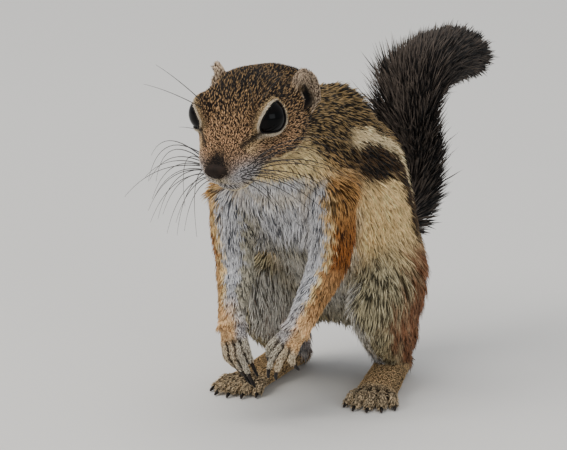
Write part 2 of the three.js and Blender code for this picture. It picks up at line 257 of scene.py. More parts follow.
def ear_dent(points, side):
    """How deep the ear's opening is at each point, from 0 at its edge to 1."""
    ear = in_ear(points, SIDES[side])
    back, up = ear[:, 1], ear[:, 2] + 2.0
    slant = 0.08 * up
    wide = 1.8 - 0.25 * up + 0.7 * ease(up, 1.0, -1.0) * (back < slant)
    across = (back - slant) / wide
    outer = ease(ear[:, 0] * SIDES[side], -2.8, -1.6)
    return np.exp(-np.abs(across) ** 2.6 - np.abs(up / 3.1) ** 3) * outer


# The edge of the opening between the left eye's lids, as directions from the eye's middle in
# the head's frame, starting at the front corner. The right eye's is its mirror image.
LID_EDGE = [
    (0.06, -0.970, -0.235),
    (0.03, -0.998, 0.051),
    (0.215, -0.852, 0.477),
    (0.424, -0.466, 0.777),
    (0.520, 0.060, 0.850),
    (0.500, 0.640, 0.590),
    (0.740, 0.569, 0.359),
    (0.935, 0.330, 0.115),
    (0.965, 0.150, -0.205),
    (0.882, -0.096, -0.461),
    (0.740, -0.392, -0.546),
    (0.520, -0.760, -0.390),
    (0.224, -0.930, -0.300),
]
# How much further towards the nose the front edge of each eye's opening reaches, low and high.
LID_REACH = {"left": (0.0, 0.0), "right": (-0.12, 0.2)}


def smooth_loop(corners, count):
    """A closed line through corners, as count points."""
    corners = np.array(corners)
    t = np.linspace(0, len(corners), count, endpoint=False)
    i = t.astype(int)
    f = (t - i)[:, None]
    a, b, c, d = (corners[(i + k) % len(corners)] for k in (-1, 0, 1, 2))
    return 0.5 * (
        2 * b + (c - a) * f + (2 * a - 5 * b + 4 * c - d) * f**2 + (3 * b - a - 3 * c + d) * f**3
    )


class Lids:
    """The opening between one eye's lids, as directions in the head's frame folded to the left."""

    def __init__(self, side):
        loop = unit(smooth_loop(LID_EDGE, 130))
        front = ease(-loop[:, 1], 0.0, 0.7) * ease(loop[:, 0], 0.85, 0.3)
        low, high = LID_REACH[side]
        loop[:, 0] -= (low + (high - low) * ease(loop[:, 2], -0.3, 0.4)) * front
        self.loop = unit(loop)
        self.axis = unit(self.loop.mean(axis=0))
        self.across = unit(np.cross(self.axis, (0, 0, 1)))
        self.up = np.cross(self.across, self.axis)
        spin, tilt = self.polar(self.loop)
        order = np.argsort(spin)
        self.spin, self.tilt = spin[order], tilt[order]

    def polar(self, directions):
        """Directions from the eye's middle, as angles round and away from the lids' axis."""
        spin = np.arctan2(directions @ self.up, directions @ self.across)
        return spin, np.arccos(np.clip(directions @ self.axis, -1, 1))

    def outside(self, directions):
        """How far each direction is outside the opening, in millimetres along the eyeball."""
        spin, tilt = self.polar(directions)
        edge = np.interp(spin, self.spin, self.tilt, period=2 * math.pi)
        return (tilt - edge) * EYE_RADIUS


LIDS = {side: Lids(side) for side in SIDES}


def from_lids(points, side):
    """How far each point is outside the eye's opening, in millimetres along the eyeball, and
    how far it is from the eye's middle. Inside the opening the first is below zero."""
    off = (points - EYES[side]) @ HEAD_AXES * (SIDES[side], 1, 1)
    distance = np.linalg.norm(off, axis=1)
    return LIDS[side].outside(unit(off)), distance


TEAR_LINE = [(3.6, 9.0, 0.4), (6.4, 10.4, 1.7), (9.0, 11.4, 3.1)]
FACE_WAY = unit(np.array([0.49, -0.638, 0.594]))  # outwards from the side of the face
MOUTH_LINE = [(0, -0.4, -2.4), (0, 0.4, -4.6), (2.4, 1.9, -6.2), (4.9, 5.6, -7.6), (6.6, 9.8, -7.4)]


def from_mouth(places):
    """How far each place in the head's frame is from the line of the mouth."""
    folded = np.stack([np.abs(places[:, 0]), places[:, 1], places[:, 2]], axis=1)
    _, _, away = place_on_line(folded, np.array(MOUTH_LINE, float))
    return np.linalg.norm(away, axis=1)


# ------------------------------------------------------------------ sizes and colours to set


def linear(code):
    """A colour given as six hex digits, in linear light."""
    parts = [int(code[i : i + 2], 16) / 255 for i in (0, 2, 4)]
    return tuple(p / 12.92 if p <= 0.04045 else ((p + 0.055) / 1.055) ** 2.4 for p in parts)


def length(name, description, millimetres):
    return FloatProperty(
        name=name, description=description, default=millimetres * MM, min=0, unit="LENGTH"
    )


def colour(name, description, code):
    return FloatVectorProperty(
        name=name,
        description=description,
        default=linear(code),
        min=0,
        max=1,
        size=3,
        subtype="COLOR",
    )


class SquirrelSizes(bpy.types.PropertyGroup):
    """Sizes that a user may change."""

    skin_mesh: length("Skin mesh", "Width of the finest faces of the skin", 0.34)
    skin_faces: IntProperty(
        name="Skin faces", description="Triangles left in the skin", default=150000, min=20000
    )
    closing: length("Closing", "How far each solid swells to meet its neighbours", 0.25)
    lid_thickness: length("Lid thickness", "How far the lids stand off the eyeball", 0.34)
    lid_rim: length("Lid rim", "Radius of the bare rim of the lids", 0.24)
    whisker: length("Whisker", "Length of the longest whiskers", 33)
    whisker_root: length("Whisker root", "Radius of a whisker at its root", 0.16)
    tufts: FloatProperty(
        name="Tufts", description="Share of the full number of tufts", default=1, min=0.05, max=1
    )
    seed: IntProperty(name="Seed", description="Start of the random draws", default=7)


class SquirrelColours(bpy.types.PropertyGroup):
    """The two kinds of hair in each marking, and the bare parts."""

    crown_pale: colour("Crown, pale", "Tipped hairs of the crown and nape", "b08c5e")
    crown_dark: colour("Crown, dark", "Dark hairs of the crown and nape", "100a06")
    muzzle_pale: colour("Muzzle, pale", "Tipped hairs of the muzzle's bridge", "eaba8a")
    muzzle_dark: colour("Muzzle, dark", "Dark hairs of the muzzle's bridge", "22130a")
    back_pale: colour("Back, pale", "Tipped hairs of the back", "a08458")
    back_dark: colour("Back, dark", "Dark hairs of the back", "120c06")
    band_pale: colour("Band, pale", "Tipped hairs of the band under the stripe", "58422a")
    band_dark: colour("Band, dark", "Dark hairs of the band under the stripe", "0d0805")
    stripe_pale: colour("Stripe, pale", "Hairs of the stripe", "f6e0b2")
    stripe_dark: colour("Stripe, dark", "Shaded hairs of the stripe", "b59c72")
    ring_pale: colour("Eye ring, pale", "Hairs of the ring round the eye", "ecdcc2")
    ring_dark: colour("Eye ring, dark", "Shaded hairs of the ring round the eye", "a08a6a")
    cream_pale: colour("Cream, pale", "Hairs of the flank", "fadaa0")
    cream_dark: colour("Cream, dark", "Shaded hairs of the flank", "9a7d52")
    # The haunch's colours also paint shade: under the chin and the chest, low on the trunk and on
    # the far arm's inner side.
    haunch_pale: colour("Haunch, pale", "Hairs of the haunch", "c8bc98")
    haunch_dark: colour("Haunch, dark", "Grey hairs of the haunch", "4c4636")
    rump_pale: colour("Rump, pale", "Hairs of the back of the leg", "98694a")
    rump_dark: colour("Rump, dark", "Dark hairs of the back of the leg", "331b0b")
    chest_pale: colour("Chest, pale", "Hairs of the chest and inner arms", "dddcde")
    chest_dark: colour("Chest, dark", "Slate hairs of the chest and inner arms", "4e515a")
    belly_pale: colour("Belly, pale", "Hairs of the belly", "e2ddd2")
    belly_dark: colour("Belly, dark", "Shaded hairs of the belly", "6c6558")
    shoulder_pale: colour("Shoulder, pale", "Tipped hairs of the shoulder", "d3a566")
    shoulder_dark: colour("Shoulder, dark", "Dark hairs of the shoulder", "24140a")
    rust_pale: colour("Rust, pale", "Hairs of the outer arm", "a8672e")
    rust_dark: colour("Rust, dark", "Dark hairs of the outer arm", "381a08")
    paw_pale: colour("Paw, pale", "Hairs of the backs of the paws", "fcd09a")
    paw_dark: colour("Paw, dark", "Shaded hairs of the backs of the paws", "a3713e")
    foot_pale: colour("Foot, pale", "Hairs of the hind feet", "dcb988")
    foot_dark: colour("Foot, dark", "Shaded hairs of the hind feet", "4a3920")
    digit_pale: colour("Digit, pale", "Hairs of the fingers and toes", "dcd0b6")
    digit_dark: colour("Digit, dark", "Shaded hairs of the fingers and toes", "6f6350")
    tail_pale: colour("Tail, pale", "Frosted tips of the tail's fringe", "51473f")
    tail_dark: colour("Tail, dark", "Black hairs of the tail", "0a0706")
    lip_pale: colour("Lip, pale", "Hairs of the whisker pads and lips", "f2ecea")
    lip_dark: colour("Lip, dark", "Dark hairs of the whisker pads and lips", "3a3233")
    # The nose's colours also paint shade between the fingers and toes.
    nose_pale: colour("Nose, pale", "Hairs round the nose", "4a3b2e")
    nose_dark: colour("Nose, dark", "Dark hairs round the nose", "130d0a")
    ear_pale: colour("Ear, pale", "Hairs of the ear's back and rim", "dcc4a8")
    ear_dark: colour("Ear, dark", "Shaded hairs of the ear's back", "4e3b2b")
    # The ear's hollow: its bare skin's colour, painted near black as shade in the recess.
    hollow_pale: colour("Ear hollow, pale", "Bare skin in the ear", "1c120d")
    hollow_dark: colour("Ear hollow, dark", "Depth of the ear", "070403")
    cheek_pale: colour("Cheek, pale", "Hairs of the lower cheek", "f2d9a2")
    cheek_dark: colour("Cheek, dark", "Dark hairs of the lower cheek", "574225")
    eye: colour("Eye", "Iris", "080403")
    pupil: colour("Pupil", "Pupil", "020202")
    rim: colour("Lid rim", "Bare rim of the lids", "120d0b")
    nose: colour("Nose pad", "Bare skin of the nose", "281e18")
    claw: colour("Claw", "Horn of the claws", "0f0b0a")
    claw_tip: colour("Claw tip", "Worn tip of a claw", "2e2520")
    whisker: colour("Whisker", "Whiskers", "1a120d")
    floor: colour("Floor", "Studio floor", "d8d6d2")


# ------------------------------------------------------------------ markings

DARK_SHARES = {
    "crown": 0.915,
    "muzzle": 0.64,
    "back": 0.8,
    "band": 0.8,
    "stripe": 0.12,
    "ring": 0.15,
    "cream": 0.2,
    "haunch": 0.42,
    "rump": 0.5,
    "chest": 0.34,
    "belly": 0.4,
    "shoulder": 0.5,
    "rust": 0.5,
    "paw": 0.2,
    "foot": 0.32,
    "digit": 0.25,
    "tail": 0.86,
    "lip": 0.35,
    "nose": 0.7,
    "ear": 0.4,
    "hollow": 0.5,
    "cheek": 0.3,
}

# Along the trunk: share of its length, then the angles from the spine, in degrees, of the white
# stripe's middle and half-width and of the lower edge of the dark band under it.
STRIPE = np.array(
    [
        (0.05, 62, 5, 100),
        (0.11, 61.5, 8.5, 101),
        (0.20, 60.5, 9, 103),
        (0.29, 53.5, 6, 99),
        (0.37, 47.5, 3.8, 90),
        (0.49, 42.5, 4.2, 68),
        (0.60, 39, 4, 70),
        (0.72, 38, 3.5, 82),
        (0.85, 38, 2.5, 95),
        (0.92, 38, 0, 110),
    ]
)


class Markings:
    """The two colours of hair and the share of dark hairs at each of many points."""

    def __init__(self, colours, count):
        self.colours = colours
        self.pale = np.zeros((count, 3))
        self.dark = np.zeros((count, 3))
        self.share = np.zeros(count)

    def paint(self, name, cover):
        cover = np.clip(cover, 0, 1)
        wide = cover[:, None]
        pale = np.array(getattr(self.colours, name + "_pale"))
        dark = np.array(getattr(self.colours, name + "_dark"))
        self.pale += wide * (pale - self.pale)
        self.dark += wide * (dark - self.dark)
        self.share += cover * (DARK_SHARES[name] - self.share)

    def streak(self, cover, across, along, amount):
        """Bands of darker hair a few millimetres apart, that run the way of along."""
        wave = np.sin(1.9 * across + 1.3 * np.sin(0.31 * along + 1))
        wave += 0.8 * np.sin(3.7 * across - 0.23 * along + 1.1 * np.sin(0.5 * along))
        self.share += cover * amount * wave


def from_spine(way, away):
    """The angle of each point round the body's line, in degrees down from the spine."""
    back = np.stack([np.zeros(len(way)), -way[:, 2], way[:, 1]], axis=1)
    return np.degrees(np.arctan2(np.abs(away[:, 0]), (away * back).sum(axis=1)))


def mark_trunk(coat, points, is_body):
    """The stripe between two dark bands, the cream flank, grey haunch, belly and chest, with
    painted shade under the chest and low on the trunk.
    """
    share, way, away = place_on_line(points, TRUNK_LINE)
    centre, half, band_end = (np.interp(share, STRIPE[:, 0], STRIPE[:, k]) for k in (1, 2, 3))
    ragged = 3.0 * np.sin(points[:, 1] * 1.1) * np.sin(points[:, 2] * 0.9 + 1)
    angle = from_spine(way, away) + ragged
    rump = ease(share, 0.9, 1.0)
    coat.paint("band", is_body * ease(angle, centre - half, centre + half))
    coat.paint("cream", is_body * ease(angle, band_end - 5, band_end + 5))
    coat.paint("haunch", is_body * 0.8 * ease(share, 0.55, 0.75) * ease(angle, 100, 125))
    coat.paint("belly", is_body * ease(angle, 132, 158))
    front = (1 - ease(share, 0.25, 0.5)) * ease(angle, 118, 142)
    coat.paint("chest", is_body * front)
    from_stripe = np.abs(angle - centre)
    shown = (half > 0.3) * ease(share, 0.03, 0.1)
    coat.paint("stripe", is_body * shown * (1 - ease(from_stripe, half - 2.5, half + 2.5)))
    coat.paint("rump", is_body * rump * 0.7 * (1 - ease(angle, 100, 130)))
    turn = np.radians(angle) * np.linalg.norm(away, axis=1) * np.sign(away[:, 0])
    coat.streak(is_body * ease(angle, 112, 135), 0.8 * turn, points[:, 2], 0.24)
    # Painted shadow under the chest's overhang: the belly's and haunch's greys, with more dark
    # hairs.
    shade_under_chest = is_body * ease(blob(points, (-2, -30, 41), (24, 8, 5)), 0.3, 0.75)
    coat.paint("belly", shade_under_chest)
    coat.paint("haunch", 0.5 * shade_under_chest)
    coat.share += 0.3 * shade_under_chest
    # Painted shade low on the trunk: the haunch's darker grey towards the underside.
    low = is_body * ease(points[:, 2], 26, 18)
    coat.paint("haunch", 0.6 * low)


def mark_neck(coat, points, is_neck):
    """Cheek hair under the nape, the chest's white below it and rust towards the shoulder."""
    share, way, away = place_on_line(points, NECK_LINE)
    ragged = 3 * np.sin(points[:, 1] * 1.3) * np.sin(points[:, 2] * 1.1)
    angle = from_spine(way, away) + ragged
    coat.paint("cheek", is_neck * ease(angle, 98, 114))
    coat.paint("chest", is_neck * ease(angle, 126, 144) * ease(points[:, 2], 67.5, 64.5))
    shoulder = ease(share, 0.68, 0.95) * ease(angle, 84, 100) * (1 - ease(angle, 122, 140))
    coat.paint("shoulder", is_neck * 0.55 * shoulder)


# The direction in which the rust side of each arm faces, how far out it begins and its strength.
RUST_SIDES = {"left": ((0.891, 0.454, 0), 0.02, 1.0), "right": ((-0.97, 0.1, 0), 0.36, 0.85)}
HAND_SIDES = {"left": (0.891, 0.454, 0), "right": (-0.891, -0.454, 0)}  # where paws are tan


def mark_arms(coat, points, regions):
    """Rust outside and white inside, with tan paws and pale fingers, and painted shade on the far
    arm's inner side and between the fingers.
    """
    for side in SIDES:
        arm = regions["upper_arm_" + side] + regions["forearm_" + side]
        paw = regions["forepaw_" + side]
        share, _, away = place_on_line(points, ARM_LINES[side])
        faces, edge, strength = RUST_SIDES[side]
        outer = unit(away) @ np.array(faces)
        outer += 0.13 * np.sin(points[:, 2] * 1.7 + points[:, 0]) - edge
        outer -= 0.22 * ease(share, 0.4, 0.62)
        coat.paint("chest", arm * ease(outer, 0.15, -0.25))
        coat.paint("cream", arm * ease(outer, -0.42, -0.15))
        rust = strength - 0.3 * ease(share, 0.38, 0.6)
        coat.paint("rust", arm * rust * ease(outer, -0.15, 0.15))
        across = np.arctan2(away[:, 1], away[:, 0]) * 5
        coat.streak(arm * ease(outer, 0.2, -0.2), across, points[:, 2], 0.24)
        top = ease(share, 0.33, 0.12)
        coat.paint("shoulder", arm * 0.65 * top * ease(outer, -0.5, -0.1))
        # Painted shade: the haunch's darker grey on the inner side of the far arm.
        if side == "right":
            coat.paint("haunch", arm * 0.7 * ease(outer, -1.05, -1.25) * ease(share, 0.85, 0.7))
        body = regions["trunk"] + regions["neck"]
        joint = ease(blob(points, ARM_LINES[side][1] + (0, 0, 4), (7, 9, 12)), 0.3, 0.75)
        coat.paint("shoulder", body * 0.7 * joint * ease(outer, -0.6, -0.2))
        coat.paint("chest", paw)
        tan = ease(unit(away) @ np.array(HAND_SIDES[side]), -0.65, 0.1)
        coat.paint("paw", np.clip(arm + paw, 0, 1) * ease(share, 0.66, 0.84) * (0.12 + 0.88 * tan))
        forth = (points - WRISTS[side]) @ paw_axes(side)[0][0]
        coat.paint("digit", paw * 0.8 * ease(forth, 4.6, 7.0))
        first, second = from_digits(points, "forepaw_" + side)
        # Painted shade between the fingers: the nose's dark colours along the gaps.
        gaps = ease(forth, 4.6, 6.4) * ease(second - first, 0.95, 0.25)
        coat.paint("nose", paw * 0.9 * gaps)


def mark_legs(coat, points, normals, regions):
    """Streaked grey haunches, russet behind, with tan feet and pale toes, and painted shade between
    the toes.
    """
    for side, hand in SIDES.items():
        leg = regions["thigh_" + side] + regions["shank_" + side]
        foot = regions["hind_foot_" + side]
        coat.paint("haunch", leg)
        wavy = 0.12 * np.sin(points[:, 2] * 0.8 + points[:, 1])
        flank = ease(points[:, 2], 30, 40) * ease(points[:, 1], -20, -10)
        coat.paint("cream", leg * 0.85 * flank)
        streaks = 0.5 + 0.5 * np.sin(points[:, 0] * 0.9 + points[:, 1] * 1.9 + points[:, 2] * 0.3)
        facing = ease(-normals[:, 1], -0.25, 0.5)
        coat.paint("cream", leg * 0.4 * streaks * (1 - facing))
        coat.streak(leg, points[:, 1] + 0.4 * points[:, 2], points[:, 2], 0.17)
        coat.paint("belly", leg * ease(hand * normals[:, 0], 0.0, -0.5))
        rear = ease(normals[:, 1] + wavy, -0.28, 0.2) * ease(points[:, 2], 44, 34)
        coat.paint("rump", leg * rear)
        coat.paint("foot", foot)
        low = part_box("hind_foot_" + side)[0].y / MM
        coat.paint("digit", foot * 0.45 * ease(points[:, 1], low + 15, low + 8))
        heel = ease(points[:, 2], 2, 6) * ease(points[:, 1], low + 32, low + 40)
        coat.paint("rump", foot * 0.8 * heel * ease(normals[:, 1], 0.0, 0.4))
        inner = ease(hand * normals[:, 0], 0.0, -0.5) * ease(points[:, 2], 12, 9)
        coat.paint("chest", (foot * heel + leg) * 0.6 * inner)
        forth = (points - HEELS[side]) @ foot_axes(side)[0]
        first, second = from_digits(points, "hind_foot_" + side)
        # Painted shade between the toes: the nose's dark colours along the gaps.
        gaps = ease(forth, FOOT_TO_BALL - 1, FOOT_TO_BALL + 2) * ease(second - first, 1.1, 0.4)
        coat.paint("nose", foot * 0.9 * gaps)


def mark_tail(coat, points, is_tail):
    """The back's colours at the root of the tail, and black past it."""
    share, _, _ = place_on_line(points, TAIL_LINE)
    coat.paint("back", is_tail * (1 - ease(share, 0.0, 0.1)))
    coat.paint("tail", is_tail * ease(share, 0.02, 0.12))


def mark_head(coat, points, is_head, is_ear):
    """Grizzled crown, warm muzzle, creamy cheeks, pale lips and the dark lines of the face, with
    painted shadow under the chin.
    """
    places = in_head(points)
    x, y, z = np.abs(places[:, 0]), places[:, 1], places[:, 2]
    folded = np.stack([x, y, z], axis=1)
    coat.paint("crown", is_head + is_ear)
    coat.paint("muzzle", is_head * 0.3 * ease(y, 26, 14))
    coat.paint("muzzle", is_head * 0.55 * blob(folded, (12.5, 20, -1), (4, 8, 5)))
    coat.paint("muzzle", is_head * ease(y, 17, 7) * ease(z, -4, 0))
    coat.paint("muzzle", is_head * 1.1 * blob(folded, (11, 15, -2.6), (4, 7, 2.4)))
    cheek_top = -3.4 - 0.26 * (y - 5) + 0.5 * np.sin(y * 1.7)
    coat.paint("cheek", is_head * ease(z, cheek_top + 0.6, cheek_top - 1.6))
    coat.paint("lip", is_head * 1.7 * blob(folded, (4.6, 4.2, -3.5), (4.2, 5.2, 2.9)))
    coat.paint("lip", is_head * 1.6 * blob(folded, (0, 3.5, -7.2), (3.6, 4.6, 2.0)))
    bars = 0.5 + 0.5 * np.sin(places[:, 0] * 7.0)
    chin = ease(blob(folded, (0, 1.5, -7.4), (2.8, 3.0, 1.8)), 0.15, 0.6)
    coat.paint("nose", is_head * bars * chin)
    # Painted shadow under the chin: the haunch's darker grey on the throat.
    coat.paint("haunch", is_head * 0.6 * blob(folded, (0, 7.0, -11.0), (6.0, 4.0, 1.8)))
    slim = places / (1 - 0.22 * np.clip(z, 0, 2)[:, None] * (1, 0, 0))
    coat.paint("nose", is_head * 1.5 * blob(slim, (-0.5, 1.2, 0.4), (3.4, 4.6, 2.6)))
    pad = blob(folded, (4.6, 4.4, -4.0), (3.6, 3.8, 2.6))
    rows = np.sin(places[:, 2] * 5.2 + 0.6) * np.sin(places[:, 1] * 4.2 + places[:, 2])
    coat.paint("nose", is_head * 0.95 * pad * ease(rows, 0.3, 0.7))
    coat.paint("nose", is_head * 0.9 * np.exp(-((from_mouth(places) / 0.45) ** 2)))
    under_ear = ease(blob(folded, (12.8, 31.0, -5.0), (2.0, 2.0, 3.0)), 0.3, 0.8)
    coat.paint("ear", is_head * under_ear)
    before_ear = ease(blob(folded, (12.2, 28.6, 0.5), (2.2, 1.4, 2.4)), 0.3, 0.8)
    coat.paint("ear", is_head * 0.8 * before_ear)
    mark_eyes_and_ears(coat, points, is_head, is_ear)


def mark_eyes_and_ears(coat, points, is_head, is_ear):
    """A pale ring round each eye, a dark line before it, and pale ears with dark hollows, which are
    partly painted shade.
    """
    places = in_head(points)
    folded = np.stack([np.abs(places[:, 0]), places[:, 1], places[:, 2]], axis=1)
    above = ease(places[:, 2], 2.0, 5.5)
    behind = ease(places[:, 1], 16.0, 19.5)
    below = ease(places[:, 2], 3.6, 2.0)
    wide = 0.65 + 0.1 * above - 0.3 * behind + 0.85 * below * (1 - 0.6 * behind)
    flat = folded - (folded @ FACE_WAY)[:, None] * FACE_WAY
    tear = np.array(TEAR_LINE) - (np.array(TEAR_LINE) @ FACE_WAY)[:, None] * FACE_WAY
    off_tear = np.linalg.norm(place_on_line(flat, tear)[2], axis=1)
    for side, hand in SIDES.items():
        outside, distance = from_lids(points, side)
        near = (distance < 11) & (places[:, 0] * hand > 0)
        coat.paint("cheek", is_head * near * 0.45 * (1 - ease(outside, 1.2, 2.4)))
        lid = near * ease(distance, EYE_RADIUS + 2.3, EYE_RADIUS + 1.3)
        lid *= 1 - 0.4 * behind * (1 - below)
        coat.paint("ring", is_head * lid * (1 - ease(outside, wide - 0.2, wide + 0.35)))
        coat.paint("nose", is_head * near * 0.9 * np.exp(-((off_tear / 0.85) ** 2)))
        mine = is_ear * (places[:, 0] * hand > 0)
        coat.paint("ear", mine)
        around = mine + is_head * near_ear(points, side)
        # The ear's hollow painted near black: its bare skin's colour, and painted shade in the deep
        # recess.
        coat.paint("hollow", around * ease(ear_dent(points, side), 0.25, 0.55))


def markings(points, normals, regions, colours):
    """The coat's markings at many points of the skin."""
    coat = Markings(colours, len(points))
    coat.paint("back", np.ones(len(points)))
    mark_trunk(coat, points, np.clip(regions["trunk"], 0, 1))
    mark_neck(coat, points, regions["neck"])
    mark_arms(coat, points, regions)
    mark_legs(coat, points, normals, regions)
    mark_tail(coat, points, parts_of(regions, "tail"))
    ears = regions["ear_left"] + regions["ear_right"]
    mark_head(coat, points, regions["head"], ears)
    return coat


# ------------------------------------------------------------------ the coat's lengths

# For each part of the body, in millimetres: depth of the coat, length and width of a tuft, tufts
# on each square millimetre, how far the tips bend back down, how far tufts gather into locks,
# and the spread of their directions in degrees.
COATS = {
    "head": (0.7, 1.25, 0.21, 19, 0.3, 0.02, 10),
    "ear": (0.25, 1.3, 0.2, 15, 0.3, 0.15, 16),
    "neck": (1.9, 4.4, 0.34, 6.6, 0.4, 0.35, 12),
    "trunk": (2.4, 5.8, 0.36, 5.0, 0.45, 0.35, 12),
    "upper_arm": (1.3, 4.2, 0.3, 7.5, 0.45, 0.45, 11),
    "forearm": (1.0, 3.2, 0.28, 10, 0.4, 0.45, 11),
    "forepaw": (0.22, 1.1, 0.2, 15, 0.4, 0.1, 12),
    "thigh": (2.2, 6.2, 0.34, 5.0, 0.45, 0.45, 12),
    "shank": (1.2, 4.4, 0.32, 7.0, 0.45, 0.35, 12),
    "hind_foot": (0.5, 1.8, 0.26, 9.5, 0.4, 0.15, 12),
    "tail": (7.0, 9.2, 0.4, 8.2, 0.15, 0.3, 16),
}
COAT_KEYS = ("depth", "length", "width", "density", "droop", "gather", "spread")


def part_of(node):
    """The part of the body a node belongs to."""
    for part in COATS:
        if node == part or node.startswith(part + "_"):
            return part
    raise ValueError(f"no coat for {node}")


FLESH = sorted(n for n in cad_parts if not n.startswith("eye_") and "claw" not in n)


def lie_of_coat(points, regions):
    """The way the hair lies at many points, before it is laid on the skin."""
    lie = np.zeros_like(points)

    def lay(cover, way):
        lie[:] += cover[:, None] * unit(way)

    places = in_head(points)
    hand = np.sign(places[:, 0])
    low = ease(places[:, 2], 0, -8)
    way = np.stack([0.03 * places[:, 0], np.ones(len(points)), 0.05 - 0.5 * low], axis=1)
    way[:, 0] += 0.25 * hand * ease(np.abs(places[:, 0]), 3, 9)
    for side, sign in SIDES.items():
        outside, distance = from_lids(points, side)
        near = (distance < EYE_RADIUS + 3) & (hand == sign)
        off = unit((points - EYES[side]) @ HEAD_AXES)
        axis = LIDS[side].axis * (sign, 1, 1)
        outwards = unit(off - (off @ axis)[:, None] * axis)
        inwards = np.minimum((unit(way) * outwards).sum(axis=1), 0)
        turn = near * ease(outside, 3.0, 0.8) * (0.25 - 1.35 * inwards)
        way = unit(way) + turn[:, None] * outwards
    lay(regions["head"], way @ HEAD_AXES.T)
    for side, sign in SIDES.items():
        up = np.tile(HEAD_AXES @ np.array([sign * 0.35, 0.15, 1.0]), (len(points), 1))
        lay(regions["ear_" + side], up)
    down = np.array([0, 0, -1.0])
    for name, line in (("neck", NECK_LINE), ("trunk", TRUNK_LINE)):
        _, along, away = place_on_line(points, line)
        slope = 0.55 * np.clip(np.abs(away[:, 0:1]) / 14, 0, 1)
        lay(regions[name], along + slope * down)
    _, along, _ = place_on_line(points, TAIL_LINE)
    for name in TAIL_NODES:
        lay(regions[name], along)
    for side in SIDES:
        _, along, _ = place_on_line(points, ARM_LINES[side])
        lay(sum(regions[f"{n}_{side}"] for n in ("upper_arm", "forearm", "forepaw")), along)
        _, along, away = place_on_line(points, LEG_LINES[side])
        forward = ease(away[:, 1], 4, -6)[:, None]
        lay(regions["thigh_" + side], down + (0, 0.3, 0) - forward * (0, 0.6, 0))
        lay(regions["shank_" + side], 0.5 * along + down)
        _, along, _ = place_on_line(points, FOOT_LINES[side])
        lay(regions["hind_foot_" + side], along)
    return lie


# ------------------------------------------------------------------ meshes


def points_of(mesh):
    found = np.zeros(len(mesh.vertices) * 3)
    mesh.vertices.foreach_get("co", found)
    return found.reshape(-1, 3) / MM


def normals_of(mesh):
    found = np.zeros(len(mesh.vertices) * 3, np.float32)
    mesh.vertex_normals.foreach_get("vector", found)
    return found.reshape(-1, 3).astype(float)


def set_points(mesh, points):
    mesh.vertices.foreach_set("co", (points * MM).astype(np.float32).ravel())
    mesh.update()


def mesh_from(work, name):
    """A mesh made from a bmesh, which is freed."""
    mesh = bpy.data.meshes.new(name)
    work.to_mesh(mesh)
    work.free()
    return mesh


def smooth_faces(mesh):
    mesh.polygons.foreach_set("use_smooth", np.ones(len(mesh.polygons), bool))


def tree_of(points, mesh):
    """A search tree of a mesh's faces, with its points given in millimetres."""
    faces = [tuple(p.vertices) for p in mesh.polygons]
    return BVHTree.FromPolygons([Vector(p) for p in points], faces)


def edges_of(mesh):
    found = np.zeros(len(mesh.edges) * 2, np.int32)
    mesh.edges.foreach_get("vertices", found)
    return found.reshape(-1, 2)


def spread_over(values, edges, rounds, weight=1.0):
    """values at the points of a mesh, evened out along its edges."""
    flat = values.reshape(len(values), -1)
    a, b = edges.T
    count = np.maximum(np.bincount(edges.ravel(), minlength=len(flat)), 1)[:, None]
    weight = np.broadcast_to(np.asarray(weight, float).reshape(-1, 1), (len(flat), 1))
    for _ in range(rounds):
        total = np.stack(
            [
                np.bincount(a, flat[b, k], len(flat)) + np.bincount(b, flat[a, k], len(flat))
                for k in range(flat.shape[1])
            ],
            axis=1,
        )
        flat = flat + weight * (total / count - flat)
    return flat.reshape(values.shape)


def show(name, mesh):
    piece = bpy.data.objects.new(name, mesh)
    bpy.context.scene.collection.objects.link(piece)
    return piece


def drop(piece):
    mesh = piece.data
    bpy.data.objects.remove(piece)
    bpy.data.meshes.remove(mesh)


def baked(piece, name):
    """The mesh that a piece's modifiers make. The piece goes."""
    graph = bpy.context.evaluated_depsgraph_get()
    mesh = bpy.data.meshes.new_from_object(piece.evaluated_get(graph))
    mesh.name = name
    drop(piece)
    return mesh


def colour_points(mesh, name, values):
    """A colour for each point of a mesh, which its material reads by name."""
    layer = mesh.color_attributes.new(name=name, type="FLOAT_COLOR", domain="POINT")
    filled = np.ones((len(mesh.vertices), 4), np.float32)
    filled[:, :3] = values
    layer.data.foreach_set("color", filled.ravel())


def number_points(mesh, name, values):
    layer = mesh.attributes.new(name=name, type="FLOAT", domain="POINT")
    layer.data.foreach_set("value", values.astype(np.float32))


# ------------------------------------------------------------------ materials


